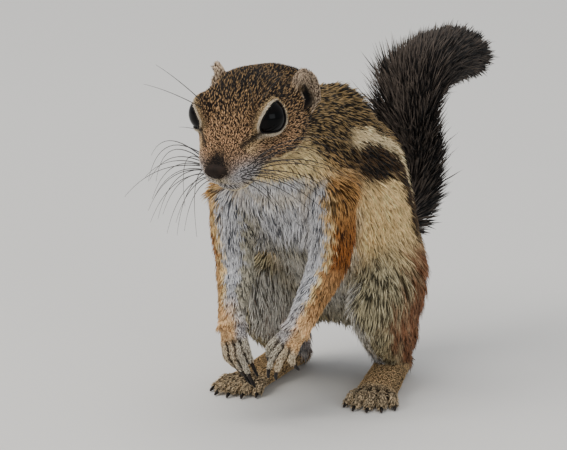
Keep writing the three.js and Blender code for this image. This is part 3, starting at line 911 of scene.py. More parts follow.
class Finish:
    """A material being wired: a Principled shader and the nodes that feed it."""

    def __init__(self, name, **fixed):
        self.material = bpy.data.materials.new(name)
        self.material.use_nodes = True
        self.nodes = self.material.node_tree.nodes
        self.links = self.material.node_tree.links
        self.shader = self.nodes["Principled BSDF"]
        for socket, value in fixed.items():
            self.shader.inputs[socket.replace("_", " ")].default_value = value

    def node(self, kind, inputs=None, **settings):
        """A new node. Each input is a constant, or another node's output to link."""
        made = self.nodes.new("ShaderNode" + kind)
        for key, value in settings.items():
            setattr(made, key, value)
        for socket, value in (inputs or {}).items():
            if isinstance(value, bpy.types.NodeSocket):
                self.links.new(value, made.inputs[socket])
            else:
                made.inputs[socket].default_value = value
        return made

    def noise(self, scale, detail=3, roughness=0.6, stretch=(1, 1, 1)):
        place = self.node("TexCoord").outputs["Object"]
        mapped = self.node("Mapping", {"Vector": place, "Scale": stretch}).outputs["Vector"]
        inputs = {"Vector": mapped, "Scale": scale, "Detail": detail, "Roughness": roughness}
        return self.node("TexNoise", inputs).outputs["Fac"]

    def between(self, value, low, high, start=0.0, end=1.0):
        """value taken from the range start to end, to the range low to high."""
        inputs = {"Value": value, "From Min": start, "From Max": end, "To Min": low, "To Max": high}
        return self.node("MapRange", inputs).outputs["Result"]

    def mix(self, factor, a, b, blend="MIX"):
        inputs = {0: factor, 6: a, 7: b}
        return self.node("Mix", inputs, data_type="RGBA", blend_type=blend).outputs[2]

    def shaded(self, tint, shade):
        """A colour made lighter or darker by a number."""
        tone = self.node("CombineColor", {0: shade, 1: shade, 2: shade}).outputs[0]
        return self.mix(1.0, tint, tone, "MULTIPLY")

    def attribute(self, name, output="Color"):
        return self.node("Attribute", attribute_name=name).outputs[output]

    def bump(self, height, strength, distance):
        inputs = {"Height": height, "Strength": strength, "Distance": distance}
        self.links.new(self.node("Bump", inputs).outputs["Normal"], self.shader.inputs["Normal"])

    def base(self, socket):
        self.links.new(socket, self.shader.inputs["Base Color"])

    def rough(self, socket):
        self.links.new(socket, self.shader.inputs["Roughness"])


SOOT = (0.002, 0.002, 0.002, 1)


def hair_finish(name, variation):
    """Hair that takes its colour from the tufts, a little uneven from place to place."""
    finish = Finish(name, Sheen_Weight=0.03, Sheen_Roughness=0.5, Specular_IOR_Level=0.15)
    uneven = finish.between(finish.noise(420, 4), 1 - variation, 1 + variation, 0.3, 0.7)
    finish.base(finish.shaded(finish.attribute("coat_colour"), uneven))
    finish.rough(finish.between(finish.noise(900), 0.6, 0.85))
    return finish.material


def skin_finish():
    """Skin and down under the tufts, in the coat's own colours but darker."""
    finish = Finish("skin_under_coat", Sheen_Weight=0.1, Specular_IOR_Level=0.25)
    fine = finish.noise(1600, 4, 0.7)
    shade = finish.between(fine, 0.55, 1.25, 0.3, 0.7)
    finish.base(finish.shaded(finish.attribute("coat_colour"), shade))
    finish.rough(finish.between(fine, 0.65, 0.9))
    finish.bump(fine, 0.5, 0.0003)
    return finish.material


def eye_finish(colours):
    """A wet dark eye, with a black pupil in an iris that is nearly black."""
    finish = Finish("wet_eye", IOR=1.25, Specular_IOR_Level=0.3)
    around = finish.attribute("from_pupil", "Fac")
    iris, pupil = (*colours.eye, 1), (*colours.pupil, 1)
    fibres = finish.noise(2500, 3, 0.6)
    fibred = finish.mix(finish.between(fibres, 0.0, 0.5, 0.3, 0.7), iris, pupil)
    finish.base(finish.mix(finish.between(around, 0, 1, 0.5, 0.62), pupil, fibred))
    finish.rough(finish.between(fibres, 0.03, 0.06))
    return finish.material


def bare_finish(name, colour_of, roughness, scale, height):
    """Bare moist skin: pebbled, darker in soft patches."""
    finish = Finish(name, Specular_IOR_Level=0.14)
    dark = tuple(0.45 * c for c in colour_of) + (1,)
    soft = finish.noise(scale * 0.4)
    finish.base(finish.mix(finish.between(soft, 0, 1, 0.35, 0.65), dark, (*colour_of, 1)))
    finish.rough(finish.between(soft, roughness, roughness + 0.2))
    finish.bump(finish.noise(scale, 3, 0.5), 0.4, height)
    return finish.material


def horn_finish(colours):
    """Dark horn with a grain along it, paler at the worn tip."""
    finish = Finish("claw_horn", Specular_IOR_Level=0.18)
    tip = finish.between(finish.attribute("to_point", "Fac"), 0, 1, 0.6, 1.0)
    grain = finish.noise(1500, 3, 0.6, (1, 1, 0.25))
    worn = finish.mix(tip, (*colours.claw, 1), (*colours.claw_tip, 1))
    finish.base(finish.mix(finish.between(grain, 0, 0.35, 0.4, 0.7), worn, SOOT))
    finish.rough(finish.between(grain, 0.35, 0.55))
    finish.bump(grain, 0.2, 0.0001)
    return finish.material


def whisker_finish(colours):
    """Stiff dark hair."""
    finish = Finish("whisker_hair")
    shade = finish.between(finish.noise(300), 0.6, 1.6)
    finish.base(finish.shaded((*colours.whisker, 1), shade))
    finish.rough(finish.between(finish.noise(800), 0.35, 0.5))
    return finish.material


def floor_finish(colours):
    """Plain matt floor."""
    finish = Finish("studio_floor")
    soft = finish.noise(6, 2)
    pale = (*colours.floor, 1)
    shade = tuple(0.96 * c for c in colours.floor) + (1,)
    finish.base(finish.mix(soft, pale, shade))
    finish.rough(finish.between(soft, 0.7, 0.8))
    return finish.material


# ------------------------------------------------------------------ the skin

BODY = {}  # what the skin's operator leaves for the coat's and the whiskers'
WELD = 0.01  # points of a solid closer than this are one


def paw_axes(side):
    """A forepaw's own directions: along it, across it and towards its palm."""
    run = np.array(FINGERTIPS[side]) - WRISTS[side]
    along = unit(run)
    across = unit(np.array([1, 0, 0]) - along * along[0])
    return np.stack([along, across, np.cross(across, along)]), np.linalg.norm(run)


def paw_digits(side):
    """The line through the joints of each finger."""
    axes, reach = paw_axes(side)
    lines = []
    for i, (aside, further) in enumerate(FINGER_SPREAD[side]):
        tip = reach - 0.5 * abs(i - 1.5) + further
        over = (i - 1.5) * FINGER_PITCH
        knuckle = ((5.6 + tip) / 2 + 0.6, 1.08 * over + 0.4 * aside, -0.5)
        joints = [(4.8, 0.9 * over, 0.1), knuckle, (tip, over + aside, 1.2)]
        lines.append(WRISTS[side] + np.array(joints) @ axes)
    return lines


def foot_digits(side):
    """The line through the joints of each toe."""
    lines = []
    for i, reach in enumerate(TOE_REACH):
        fan = math.radians((i - 2) * TOE_FAN)
        forth, over = math.cos(fan), math.sin(fan)
        joints = [
            (FOOT_TO_BALL - 1 + forth * t, (i - 2) * TOE_PITCH + over * t, up)
            for t, up in ((-1, 1.7), (reach * 0.5, 2.3), (reach, 1.15))
        ]
        lines.append(HEELS[side] + np.array(joints) @ foot_axes(side))
    return lines


DIGITS = {
    kind + side: (lines(side), radii)
    for side in SIDES
    for kind, lines, radii in (
        ("forepaw_", paw_digits, FINGER_RADII),
        ("hind_foot_", foot_digits, TOE_RADII),
    )
}


def from_digits(points, node):
    """How far each point is from the nearest digit's skin, and from the one after it."""
    lines, radii = DIGITS[node]
    found = []
    for line in lines:
        share, _, away = place_on_line(points, line)
        radius = np.interp(share, (0, 0.5, 1), radii)
        found.append(np.linalg.norm(away, axis=1) - radius)
    found = np.sort(np.array(found), axis=0)
    return found[0], found[1]


def add_beads(work, line, radii, axes, step):
    """A string of balls along a line. radii holds, for each joint, a ball's half sizes."""
    lengths = np.linalg.norm(np.diff(line, axis=0), axis=1)
    passed = np.concatenate([[0], np.cumsum(lengths)])
    for t in np.arange(0, passed[-1] + 0.01, step):
        place = [np.interp(t, passed, line[:, k]) for k in range(3)]
        size = [np.interp(t, passed, np.array(radii)[:, k]) for k in range(3)]
        turn = Matrix(axes.T.tolist()).to_4x4() @ Matrix.Diagonal((*size, 1))
        matrix = Matrix.Scale(MM, 4) @ Matrix.Translation(place) @ turn
        bmesh.ops.create_icosphere(work, subdivisions=2, radius=1, matrix=matrix)


def paw_of_beads(node):
    """A paw with its digits apart, inside the solid of that paw."""
    work = bmesh.new()
    kind, side = node.rsplit("_", 1)
    lines, radii = DIGITS[node]
    if kind == "forepaw":
        axes, _ = paw_axes(side)
        rows = [(-1.5, 0, 0), (0, 0, 0), (3.2, 0, 0), (6.0, 0, 0.1)]
        sizes = [(1.5, 2.9, 2.6), (1.5, 3.1, 2.4), (1.5, 3.4, 2.0), (1.2, 3.6, 1.5)]
        start = WRISTS[side]
    else:
        axes = foot_axes(side)
        rows = [(1.5, 0, 3.1), (9, 0, 3.0), (18, 0, 2.4), (FOOT_TO_BALL, 0, 1.9)]
        sizes = [(3.3, 4.0, 3.3), (2, 4.4, 3.0), (2, 4.9, 2.5), (2, 5.3, 1.9)]
        start = HEELS[side]
    add_beads(work, start + np.array(rows) @ axes, sizes, axes, 0.7)
    for line in lines:
        add_beads(work, line, [(r, r, r) for r in radii], axes, 0.35)
    return mesh_from(work, node + "_beads")


def joined_flesh(sizes):
    """The solids of flesh and the eyeballs, each swollen a little, in one loose mesh."""
    gathered = bmesh.new()
    for name in FLESH + ["eye_left", "eye_right"]:
        if name in DIGITS:
            copy = paw_of_beads(name)
        else:
            part = bmesh.new()
            part.from_mesh(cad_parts[name].data)
            bmesh.ops.remove_doubles(part, verts=part.verts, dist=WELD * MM)
            part.normal_update()
            for vert in part.verts:
                vert.co += vert.normal * sizes.closing
            copy = mesh_from(part, name + "_copy")
        gathered.from_mesh(copy)
        bpy.data.meshes.remove(copy)
    return mesh_from(gathered, "flesh")


def nearest_nodes(points):
    """The node of flesh nearest to each point."""
    corners, faces, owner = [], [], []
    for i, name in enumerate(FLESH):
        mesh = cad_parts[name].data
        start = len(corners)
        corners.extend(v.co / MM for v in mesh.vertices)
        faces.extend([start + k for k in p.vertices] for p in mesh.polygons)
        owner.extend([i] * len(mesh.polygons))
    tree = BVHTree.FromPolygons(corners, faces)
    found = [tree.find_nearest(p)[2] for p in points]
    return np.array(owner)[np.array(found)]


def regions_of(points, edges, rounds=10):
    """How much each point belongs to each node of flesh, with soft borders."""
    nearest = nearest_nodes(points)
    one_each = np.zeros((len(points), len(FLESH)))
    one_each[np.arange(len(points)), nearest] = 1
    soft = spread_over(one_each, edges, rounds, 0.5)
    return {name: soft[:, i] for i, name in enumerate(FLESH)}


def parts_of(regions, *parts):
    """How much each point belongs to some parts of the body."""
    return sum(regions[n] for n in FLESH if part_of(n) in parts)


def coat_values(regions):
    """The numbers of COATS at each point, mixed by region."""
    values = np.zeros((len(regions["head"]), len(COAT_KEYS)))
    for name in FLESH:
        values += regions[name][:, None] * np.array(COATS[part_of(name)], float)
    return {key: values[:, i] for i, key in enumerate(COAT_KEYS)}


def vary_coat(coat, points, regions):
    """Shorter hair towards the nose, the lids and the tail's ends, longer on jowls and chest."""
    places = in_head(points)
    is_head = regions["head"]
    fine = np.minimum(1, 0.42 + 0.58 * ease(places[:, 1], 0, 17))
    for side in SIDES:
        outside, distance = from_lids(points, side)
        near = (distance < EYE_RADIUS + 3) & (places[:, 0] * SIDES[side] > 0)
        trimmed = 0.34 + 0.66 * ease(outside, 0.6, 4.0)
        fine = np.where(near, np.minimum(fine, trimmed), fine)
    jowl = blob(np.abs(places), (8.5, 27, 12), (7, 9, 6)) * is_head
    for key in ("depth", "length"):
        coat[key] *= 1 + is_head * (fine - 1) + 0.9 * jowl
    coat["width"] *= 1 + is_head * 0.55 * (fine - 1)
    coat["density"] *= 1 + is_head * 0.5 * (1 - fine) - 0.35 * jowl
    share, _, away = place_on_line(points, TRUNK_LINE)
    under = ease(-away[:, 2] - 0.4 * away[:, 1], 6, 14)
    chest = (regions["trunk"] + regions["neck"]) * under * (1 - ease(share, 0.35, 0.6))
    fringe = regions["trunk"] * blob(points, (-1, -35, 48), (14, 7, 6))
    coat["length"] *= 1 + 0.5 * chest + 0.5 * fringe
    coat["depth"] *= 1 + 0.25 * chest + 0.6 * fringe
    coat["gather"] += 0.35 * chest + 0.1 * fringe
    share, _, _ = place_on_line(points, TAIL_LINE)
    ends = 0.4 * (1 - ease(share, 0.0, 0.35)) + 0.3 * ease(share, 0.75, 1)
    coat["length"] *= 1 - parts_of(regions, "tail") * ends


def sculpt_lids(points, sizes):
    """Skin over the eyeball drawn to thin lids, and out of sight inside their opening."""
    lid = sizes.lid_thickness / MM
    for side in SIDES:
        outside, distance = from_lids(points, side)
        near = (distance < EYE_RADIUS + 4) & (distance > EYE_RADIUS - 4)
        least = EYE_RADIUS + lid * (0.7 + 0.6 * ease(outside, 0.0, 2.0))
        over = distance - least
        raised = least + 0.5 * (over + np.sqrt(over**2 + 0.12))
        shut = least + 0.12 * ease(outside, 0.0, 0.6)
        out = shut + (raised - shut) * ease(outside, 0.4, 3.2)
        out = out - 0.2 * np.exp(-(((outside - 1.3) / 0.3) ** 2))
        inside = EYE_RADIUS - 0.8
        wanted = inside + (out - inside) * ease(outside, -0.3, 0.02)
        wanted = distance + (wanted - distance) * ease(outside, 7.0, 5.0)
        scale = np.where(near, wanted / distance, 1)
        points = EYES[side] + (points - EYES[side]) * scale[:, None]
    return points


def sculpt_face(points):
    """Broad whisker pads, nostrils, the chin, the line of the mouth, and the skull's outline."""
    places = in_head(points)
    folded = np.stack([np.abs(places[:, 0]), places[:, 1], places[:, 2]], axis=1)
    nearby = places[:, 1] < 16
    wide = 1.9 * blob(folded, (4.8, 4.6, -2.2), (4.0, 6.0, 4.5)) * ease(folded[:, 0], 0.2, 3)
    chin = 2.4 * blob(folded, (0, 4.0, -7.5), (4.5, 5.0, 2.5))
    move = np.stack([np.sign(places[:, 0]) * wide, 0 * wide, -chin], axis=1)
    inward = unit(places - np.array([0, 5.0, -1.5]))
    cut = 0.55 * np.exp(-((from_mouth(places) / 0.45) ** 2))
    cut += 0.5 * blob(folded, (1.5, -0.2, -0.6), (0.7, 1.4, 0.55))
    brow = blob(folded, (10.2, 14.0, 6.5), (2.6, 3.2, 3.0))
    crest = 0.9 * blob(folded, (8.5, 20.0, 8.5), (3.2, 4.5, 3.5))
    nape = 3.4 * blob(places, (5.5, 35, 4.5), (7, 5.5, 6))
    lifted = 0.8 * blob(places, (-10, 19.5, 9.2), (3.2, 5.5, 3.5))
    lifted += 1.2 * blob(places, (-8.5, 29, 6), (4, 5, 4))
    move -= (cut * nearby)[:, None] * inward
    move *= nearby[:, None]
    move[:, 0] -= 0.8 * np.sign(places[:, 0]) * brow
    move[:, 2] += crest + lifted - nape
    return points + move @ HEAD_AXES.T


# Where the body swells or sinks: the middle of each place, its reach and how far it moves.
BODY_SHAPES = [
    ((-1, -33, 39.5), (12, 8, 5), (0, 2.4, 0.6)),
    ((-1, -39, 49), (12, 6, 5), (0, -1.2, -0.4)),
    ((14, 13, 29), (8, 8, 6), (-0.9, -1.4, -0.4)),
    ((-14, 13, 29), (8, 8, 6), (0.9, -1.4, -0.4)),
    ((13, 12, 15), (8, 8, 6), (1.8, 2.6, -0.3)),
    ((-13, 12, 15), (8, 8, 6), (-1.8, 2.6, -0.3)),
    ((6, -13, 79.5), (10, 8, 7), (0.3, 0.5, 2.4)),
]


def sculpt_body(points, regions):
    """The chest's overhang, the withers and the fullness behind the knees."""
    soft = parts_of(regions, "trunk", "neck", "thigh", "shank")
    for centre, reach, push in BODY_SHAPES:
        points = points + (soft * blob(points, centre, reach))[:, None] * np.array(push)
    return points


def sculpt_ears(points, regions):
    """The opening of each ear, the flap in front of it, its thick rear rim and thin back."""
    for side, hand in SIDES.items():
        ear = in_ear(points, hand)
        outer = ease(ear[:, 0] * hand, -1.8, -0.6) * near_ear(points, side)
        flap = blob(ear[:, 1:], (-2.6, 0.2), (0.8, 2.2))
        rim = blob(ear[:, 1:], (2.7, -4.0), (0.7, 2.4)) + blob(ear[:, 1:], (0.8, -5.6), (1.6, 0.6))
        move = outer * (0.9 * flap + 0.7 * rim - 2.3 * ear_dent(points, side))
        free = ease(ear[:, 2], -2.5, 2.0) * near_ear(points, side) * regions["ear_" + side]
        move += 0.55 * free * np.maximum(-ear[:, 0] * hand - 0.2, 0)
        points = points + move[:, None] * hand * ear_axes(hand)[:, 0]
        points[:, 0] -= EAR_TILT[side] * hand * free
        foot = ease(ear[:, 2], 3.5, -1.0) * near_ear(points, side) * regions["ear_" + side]
        points[:, 0] += EAR_FLARE[side] * hand * foot
    return points


def in_detail(points):
    """True where the skin keeps its finest faces: face, ears and paws."""
    places = in_head(points)
    wanted = (places[:, 1] < 13) & (points[:, 2] > 55)
    for side, hand in SIDES.items():
        outside, distance = from_lids(points, side)
        wanted |= (distance < EYE_RADIUS + 1.6) & (outside < 3.5)
        ear = in_ear(points, hand)
        wanted |= np.linalg.norm(ear / (EAR_SIZE + 1.0), axis=1) < 1
    for node in DIGITS:
        low, high = (np.array(c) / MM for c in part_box(node))
        wanted |= ((points > low - 0.5) & (points < high + 0.5)).all(axis=1)
    return wanted


def thinned(mesh, faces):
    """The mesh with fewer faces wherever fine ones aren't needed."""
    detail = in_detail(points_of(mesh))
    mesh.calc_loop_triangles()
    piece = show("flesh", mesh)
    group = piece.vertex_groups.new(name="coarse")
    group.add([int(i) for i in np.nonzero(~detail)[0]], 1.0, "REPLACE")
    decimate = piece.modifiers.new("fewer faces", "DECIMATE")
    decimate.ratio = min(1.0, faces / len(mesh.loop_triangles))
    decimate.vertex_group = "coarse"
    decimate.use_collapse_triangulate = True
    return baked(piece, "skin")


def finer_lids(mesh):
    """Smaller faces along the edges of the lids."""
    points = points_of(mesh)
    wanted = np.zeros(len(points), bool)
    for side in SIDES:
        outside, distance = from_lids(points, side)
        wanted |= (distance < EYE_RADIUS + 1.2) & (np.abs(outside) < 1.6)
    work = bmesh.new()
    work.from_mesh(mesh)
    work.verts.ensure_lookup_table()
    edges = [e for e in work.edges if wanted[e.verts[0].index] and wanted[e.verts[1].index]]
    bmesh.ops.subdivide_edges(work, edges=edges, cuts=1, use_grid_fill=True, smooth=0.0)
    bmesh.ops.triangulate(work, faces=[f for f in work.faces if len(f.verts) > 4])
    work.to_mesh(mesh)
    work.free()


def biggest_island(mesh):
    """Leaves only the outer skin: what the closing of the gaps shut inside goes."""
    edges = edges_of(mesh)
    label = np.arange(len(mesh.vertices))
    while True:
        low = np.minimum(label[edges[:, 0]], label[edges[:, 1]])
        new = label.copy()
        np.minimum.at(new, edges[:, 0], low)
        np.minimum.at(new, edges[:, 1], low)
        new = new[new]
        if (new == label).all():
            break
        label = new
    names, counts = np.unique(label, return_counts=True)
    keep = label == names[counts.argmax()]
    if keep.all():
        return
    work = bmesh.new()
    work.from_mesh(mesh)
    work.verts.ensure_lookup_table()
    lost = [work.verts[i] for i in np.nonzero(~keep)[0]]
    bmesh.ops.delete(work, geom=lost, context="VERTS")
    work.to_mesh(mesh)
    work.free()


THICKEST = 60.0
DEEPEST_SHARE = 0.33  # of the flesh's thickness that the coat may take
LOWEST_SKIN = 0.05
LOWEST_HAIR = 0.02
UNDER_COAT_SHADE = 0.62


def joined_skin(sizes):
    """One closed mesh round all the flesh, with fine faces on the face, ears and paws."""
    piece = show("flesh", joined_flesh(sizes))
    remesh = piece.modifiers.new("one skin", "REMESH")
    remesh.mode = "VOXEL"
    remesh.voxel_size = sizes.skin_mesh
    mesh = baked(piece, "skin")
    biggest_island(mesh)
    mesh = thinned(mesh, sizes.skin_faces)
    finer_lids(mesh)
    return mesh


def softened(points, edges, regions, soft):
    """Points evened out where they are soft, and most of all where parts of the body meet."""
    points = spread_over(points, edges, 16, soft)
    limbs = parts_of(regions, "trunk", "neck", "upper_arm", "thigh")
    border = 1 - np.max(np.stack(list(regions.values())), axis=0)
    border = np.clip(4 * spread_over(border, edges, 25, 0.9), 0, 1) * np.clip(limbs, 0, 1)
    return spread_over(points, edges, 50, 0.9 * border)


def thickness(points, mesh):
    """How thick the flesh under each point is, up to THICKEST."""
    normals = normals_of(mesh)
    tree = tree_of(points, mesh)
    thick = np.full(len(points), THICKEST)
    for i, (point, normal) in enumerate(zip(points, normals)):
        start = Vector(point - 0.05 * normal)
        _, _, _, distance = tree.ray_cast(start, Vector(-normal), THICKEST)
        if distance is not None:
            thick[i] = distance
    return thick


def lie_on_skin(points, normals, edges, regions):
    """The way the hair lies at each point, flat on the skin and flowing across its borders."""
    lie = lie_of_coat(points, regions)
    for _ in range(4):
        lie = unit(spread_over(lie, edges, 12, 0.9))
        lie = unit(lie - (lie * normals).sum(axis=1, keepdims=True) * normals)
    return lie


def make_skin(sizes, colours):
    """The skin, inside the solids by the depth of the coat, in the coat's colours."""
    mesh = joined_skin(sizes)
    points = points_of(mesh)
    edges = edges_of(mesh)
    regions = regions_of(points, edges)
    coarse = parts_of(regions, "trunk", "neck", "thigh", "tail")
    middling = parts_of(regions, "upper_arm", "forearm", "shank")
    soft = np.clip(0.1 + 0.6 * coarse + 0.3 * middling, 0, 0.75)
    points = softened(points, edges, regions, soft)
    set_points(mesh, points)
    coat = coat_values(regions)
    vary_coat(coat, points, regions)

    paws = np.clip(sum(regions[n] for n in DIGITS), 0, 1)
    most = DEEPEST_SHARE * thickness(points, mesh)
    depth = np.minimum(coat["depth"] + sizes.closing / MM, most) * (1 - paws)
    depth = spread_over(depth, edges, 8, 0.6)
    points = points - depth[:, None] * normals_of(mesh)
    points = spread_over(points, edges, 3, 0.6 * soft)
    points = sculpt_lids(sculpt_face(points), sizes)
    points = sculpt_body(sculpt_ears(points, regions), regions)
    points[:, 2] = np.maximum(points[:, 2], LOWEST_SKIN)
    set_points(mesh, points)
    normals = normals_of(mesh)

    hair = markings(points, normals, regions, colours)
    under = hair.pale * (1 - hair.share)[:, None] + hair.dark * hair.share[:, None]
    colour_points(mesh, "coat_colour", UNDER_COAT_SHADE * under)
    smooth_faces(mesh)
    BODY.update(points=points, normals=normals, regions=regions, coat=coat, mesh=mesh)
    BODY["lie"] = lie_on_skin(points, normals, edges, regions)
    BODY["owner"] = np.argmax(np.stack([regions[n] for n in FLESH]), axis=0)
    BODY["bare"] = bare_skin(points, regions)
    skin = show("skin", mesh)
    mesh.materials.append(skin_finish())
    return skin


# ------------------------------------------------------------------ the coat

# Each piece of the coat: the nodes it grows from, the kind of its tufts, its slot, and the side
# of the middle plane it keeps to, or 0.
COAT_PIECES = {
    "coat_head_left": (("head",), "short", "head_fur", 1),
    "coat_head_right": (("head",), "short", "head_fur", -1),
    "coat_ears": (("ear_left", "ear_right"), "short", "ear", 0),
    "coat_neck": (("neck",), "long", "head_fur", 0),
    "coat_trunk_left": (("trunk",), "long", "body_fur", 1),
    "coat_trunk_right": (("trunk",), "long", "body_fur", -1),
    "coat_arm_left": (("upper_arm_left", "forearm_left"), "long", "arm_fur", 0),
    "coat_arm_right": (("upper_arm_right", "forearm_right"), "long", "arm_fur", 0),
    "coat_forepaws": (("forepaw_left", "forepaw_right"), "short", "paw_fur", 0),
    "coat_leg_left": (("thigh_left", "shank_left"), "long", "leg_fur", 0),
    "coat_leg_right": (("thigh_right", "shank_right"), "long", "leg_fur", 0),
    "coat_hind_feet": (("hind_foot_left", "hind_foot_right"), "short", "paw_fur", 0),
    "coat_tail": (TAIL_NODES, "long", "tail_fur", 0),
}
# The kinds of tuft: rings between its root and its tip, as how far along each is and how wide;
# how many tufts share a leader; and the width of the cells in which light and dark are mixed.
TUFT_KINDS = {
    "short": {"rings": ((0.52, 1.0),), "to_a_leader": 9, "cell": 0.8},
    "long": {"rings": ((0.3, 1.0), (0.7, 0.8)), "to_a_leader": 15, "cell": 1.8},
}
TAIL_PLUME = {"centre": (-6, 31, 62), "radii": (8, 9, 10)}  # where the tail's hair is longest
LIMB_LINES = {
    "upper_arm": ARM_LINES,
    "forearm": ARM_LINES,
    "forepaw": ARM_LINES,
    "thigh": LEG_LINES,
    "shank": LEG_LINES,
    "hind_foot": FOOT_LINES,
}
HEAD_LINE = from_head(np.array([(0.0, 2.0, -1.5), (0, 20, -1), (0, 40, -3)]))
PATCH = 0.003  # width of a tuft's own patch of the unwrap
OFF_EVERY_LINE = (0.13, 0.05, 1)  # a direction that no line under the skin follows


def line_under(node):
    """The line inside a node that its share of the unwrap follows."""
    part = part_of(node)
    if part in LIMB_LINES:
        return LIMB_LINES[part][node.rsplit("_", 1)[1]]
    if part == "ear":
        hand = SIDES[node.rsplit("_", 1)[1]]
        x, y, z = EAR_IN_HEAD
        return from_head(np.array([(hand * x, y, z - 5), (hand * x, y, z + 7)]))
    return {"head": HEAD_LINE, "neck": NECK_LINE, "trunk": TRUNK_LINE}.get(part, TAIL_LINE)


def unwrap(points, node):
    """Each point's place on the skin unrolled about the line inside its node, from 0 to 1."""
    share, along, away = place_on_line(points, line_under(node))
    side = unit(np.cross(along, OFF_EVERY_LINE))
    up = np.cross(side, along)
    angle = np.arctan2((away * up).sum(axis=1), (away * side).sum(axis=1))
    return np.stack([0.02 + 0.96 * (angle / (2 * math.pi) + 0.5), 0.02 + 0.96 * share], axis=1)


def sown(faces, corners, density, draw):
    """Places on the skin, a few on each face by its area: face and weights of its corners."""
    a, b, c = (corners[faces[:, k]] for k in range(3))
    area = 0.5 * np.linalg.norm(np.cross(b - a, c - a), axis=1)
    wanted = area * density[faces].mean(axis=1)
    count = np.floor(wanted + draw.random(len(faces))).astype(int)
    chosen = np.repeat(np.arange(len(faces)), count)
    u, v = draw.random(len(chosen)), draw.random(len(chosen))
    over = u + v > 1
    u, v = np.where(over, 1 - u, u), np.where(over, 1 - v, v)
    return chosen, np.stack([1 - u - v, u, v], axis=1)


def gathered_tips(roots, tips, gather, to_a_leader):
    """Tips drawn towards the tip of the nearest of a few leading tufts."""
    leaders = np.arange(0, len(roots), to_a_leader)
    tree = KDTree(len(leaders))
    for n, i in enumerate(leaders):
        tree.insert(roots[i], n)
    tree.balance()
    nearest = leaders[np.array([tree.find(r)[1] for r in roots])]
    lead = tips[nearest] - roots[nearest]
    own = tips - roots
    meeting = tips[nearest] + 0.25 * (own - lead)
    pulled = tips + gather[:, None] * (meeting - tips)
    reach = np.linalg.norm(own, axis=1, keepdims=True)
    return roots + unit(pulled - roots) * reach


def tuft_faces(levels):
    """The triangles of one tuft: a root point, some rings of three points, and a tip."""
    faces = [(0, 2, 1), (0, 3, 2), (0, 1, 3)]
    for level in range(levels - 1):
        for k, n in ((1, 2), (2, 3), (3, 1)):
            a, b = 3 * level + k, 3 * level + n
            faces += [(a, b, b + 3), (a, b + 3, a + 3)]
    tip = 3 * levels + 1
    faces += [(tip - 3 + k, tip - 3 + n, tip) for k, n in ((0, 1), (1, 2), (2, 0))]
    return np.array(faces)


def tuft_points(root, normal, lie, size, kind):
    """The points of every tuft: a root sunk in the skin, three points on each ring, and a tip."""
    side = np.cross(normal, lie)
    rise = np.clip(size["rise"], 0, 0.95)[:, None]
    flat = np.sqrt(1 - rise**2)
    long = size["length"][:, None]
    tip = root + long * (lie * flat + normal * rise)
    tip = gathered_tips(root, tip, size["gather"], kind["to_a_leader"])
    straight = tip - root
    points = [root - 0.15 * normal]
    for share, wide in kind["rings"]:
        bend = long * rise * size["droop"][:, None] * share * (1 - share) * 1.6
        centre = root + straight * share + normal * bend
        half = 0.5 * size["width"][:, None] * wide
        points += [centre - side * half, centre + side * half, centre + normal * half * 0.7]
    points = np.stack(points + [tip], axis=1).reshape(-1, 3)
    points[:, 2] = np.maximum(points[:, 2], LOWEST_HAIR)
    return points


def tuft_mesh(name, root, normal, lie, size, tint, place, kind):
    """One closed tapering tuft for each root, as a single mesh.

    size holds length, width, rise (the sine of the angle off the skin), droop and gather. tint
    holds the colour at the root, at each ring and at the tip. place is each tuft's place on the
    unwrap of the skin.
    """
    rings = kind["rings"]
    points = tuft_points(root, normal, lie, size, kind)
    starts = np.arange(len(root)) * (3 * len(rings) + 2)
    loops = (starts[:, None, None] + tuft_faces(len(rings))[None]).reshape(-1, 3)
    mesh = bpy.data.meshes.new(name)
    mesh.vertices.add(len(points))
    mesh.vertices.foreach_set("co", (points * MM).astype(np.float32).ravel())
    mesh.loops.add(loops.size)
    mesh.loops.foreach_set("vertex_index", loops.astype(np.int32).ravel())
    mesh.polygons.add(len(loops))
    mesh.polygons.foreach_set("loop_start", np.arange(0, loops.size, 3, dtype=np.int32))
    mesh.update(calc_edges=True)
    shades = [tint[0]] + [t for t in tint[1:-1] for _ in range(3)] + [tint[-1]]
    colour_points(mesh, "coat_colour", np.stack(shades, axis=1).reshape(-1, 3))
    spots = [(0.0, -0.5)]
    for share, wide in rings:
        up = share - 0.5
        spots += [(-0.5 * wide, up), (0.5 * wide, up), (0.0, up + 0.1)]
    spots.append((0.0, 0.5))
    uv = (place[:, None, :] + PATCH * np.array(spots)[None]).reshape(-1, 2)
    layer = mesh.uv_layers.new(name="OFBake")
    layer.uv.foreach_set("vector", uv[loops.ravel()].astype(np.float32).ravel())
    return mesh


def even_luck(roots, cell, draw):
    """A random number from 0 to 1 for each root, spread evenly inside each small cell, so that
    light and dark tufts mix regularly."""
    keys = np.floor(roots / cell).astype(np.int64)
    _, keys = np.unique(keys @ (1, 4096, 4096**2), return_inverse=True)
    order = np.lexsort((draw.random(len(roots)), keys))
    counts = np.bincount(keys)
    starts = np.concatenate([[0], np.cumsum(counts)[:-1]])
    rank = np.empty(len(roots))
    rank[order] = np.arange(len(roots)) - starts[keys[order]]
    return (rank + draw.random(len(roots))) / counts[keys]


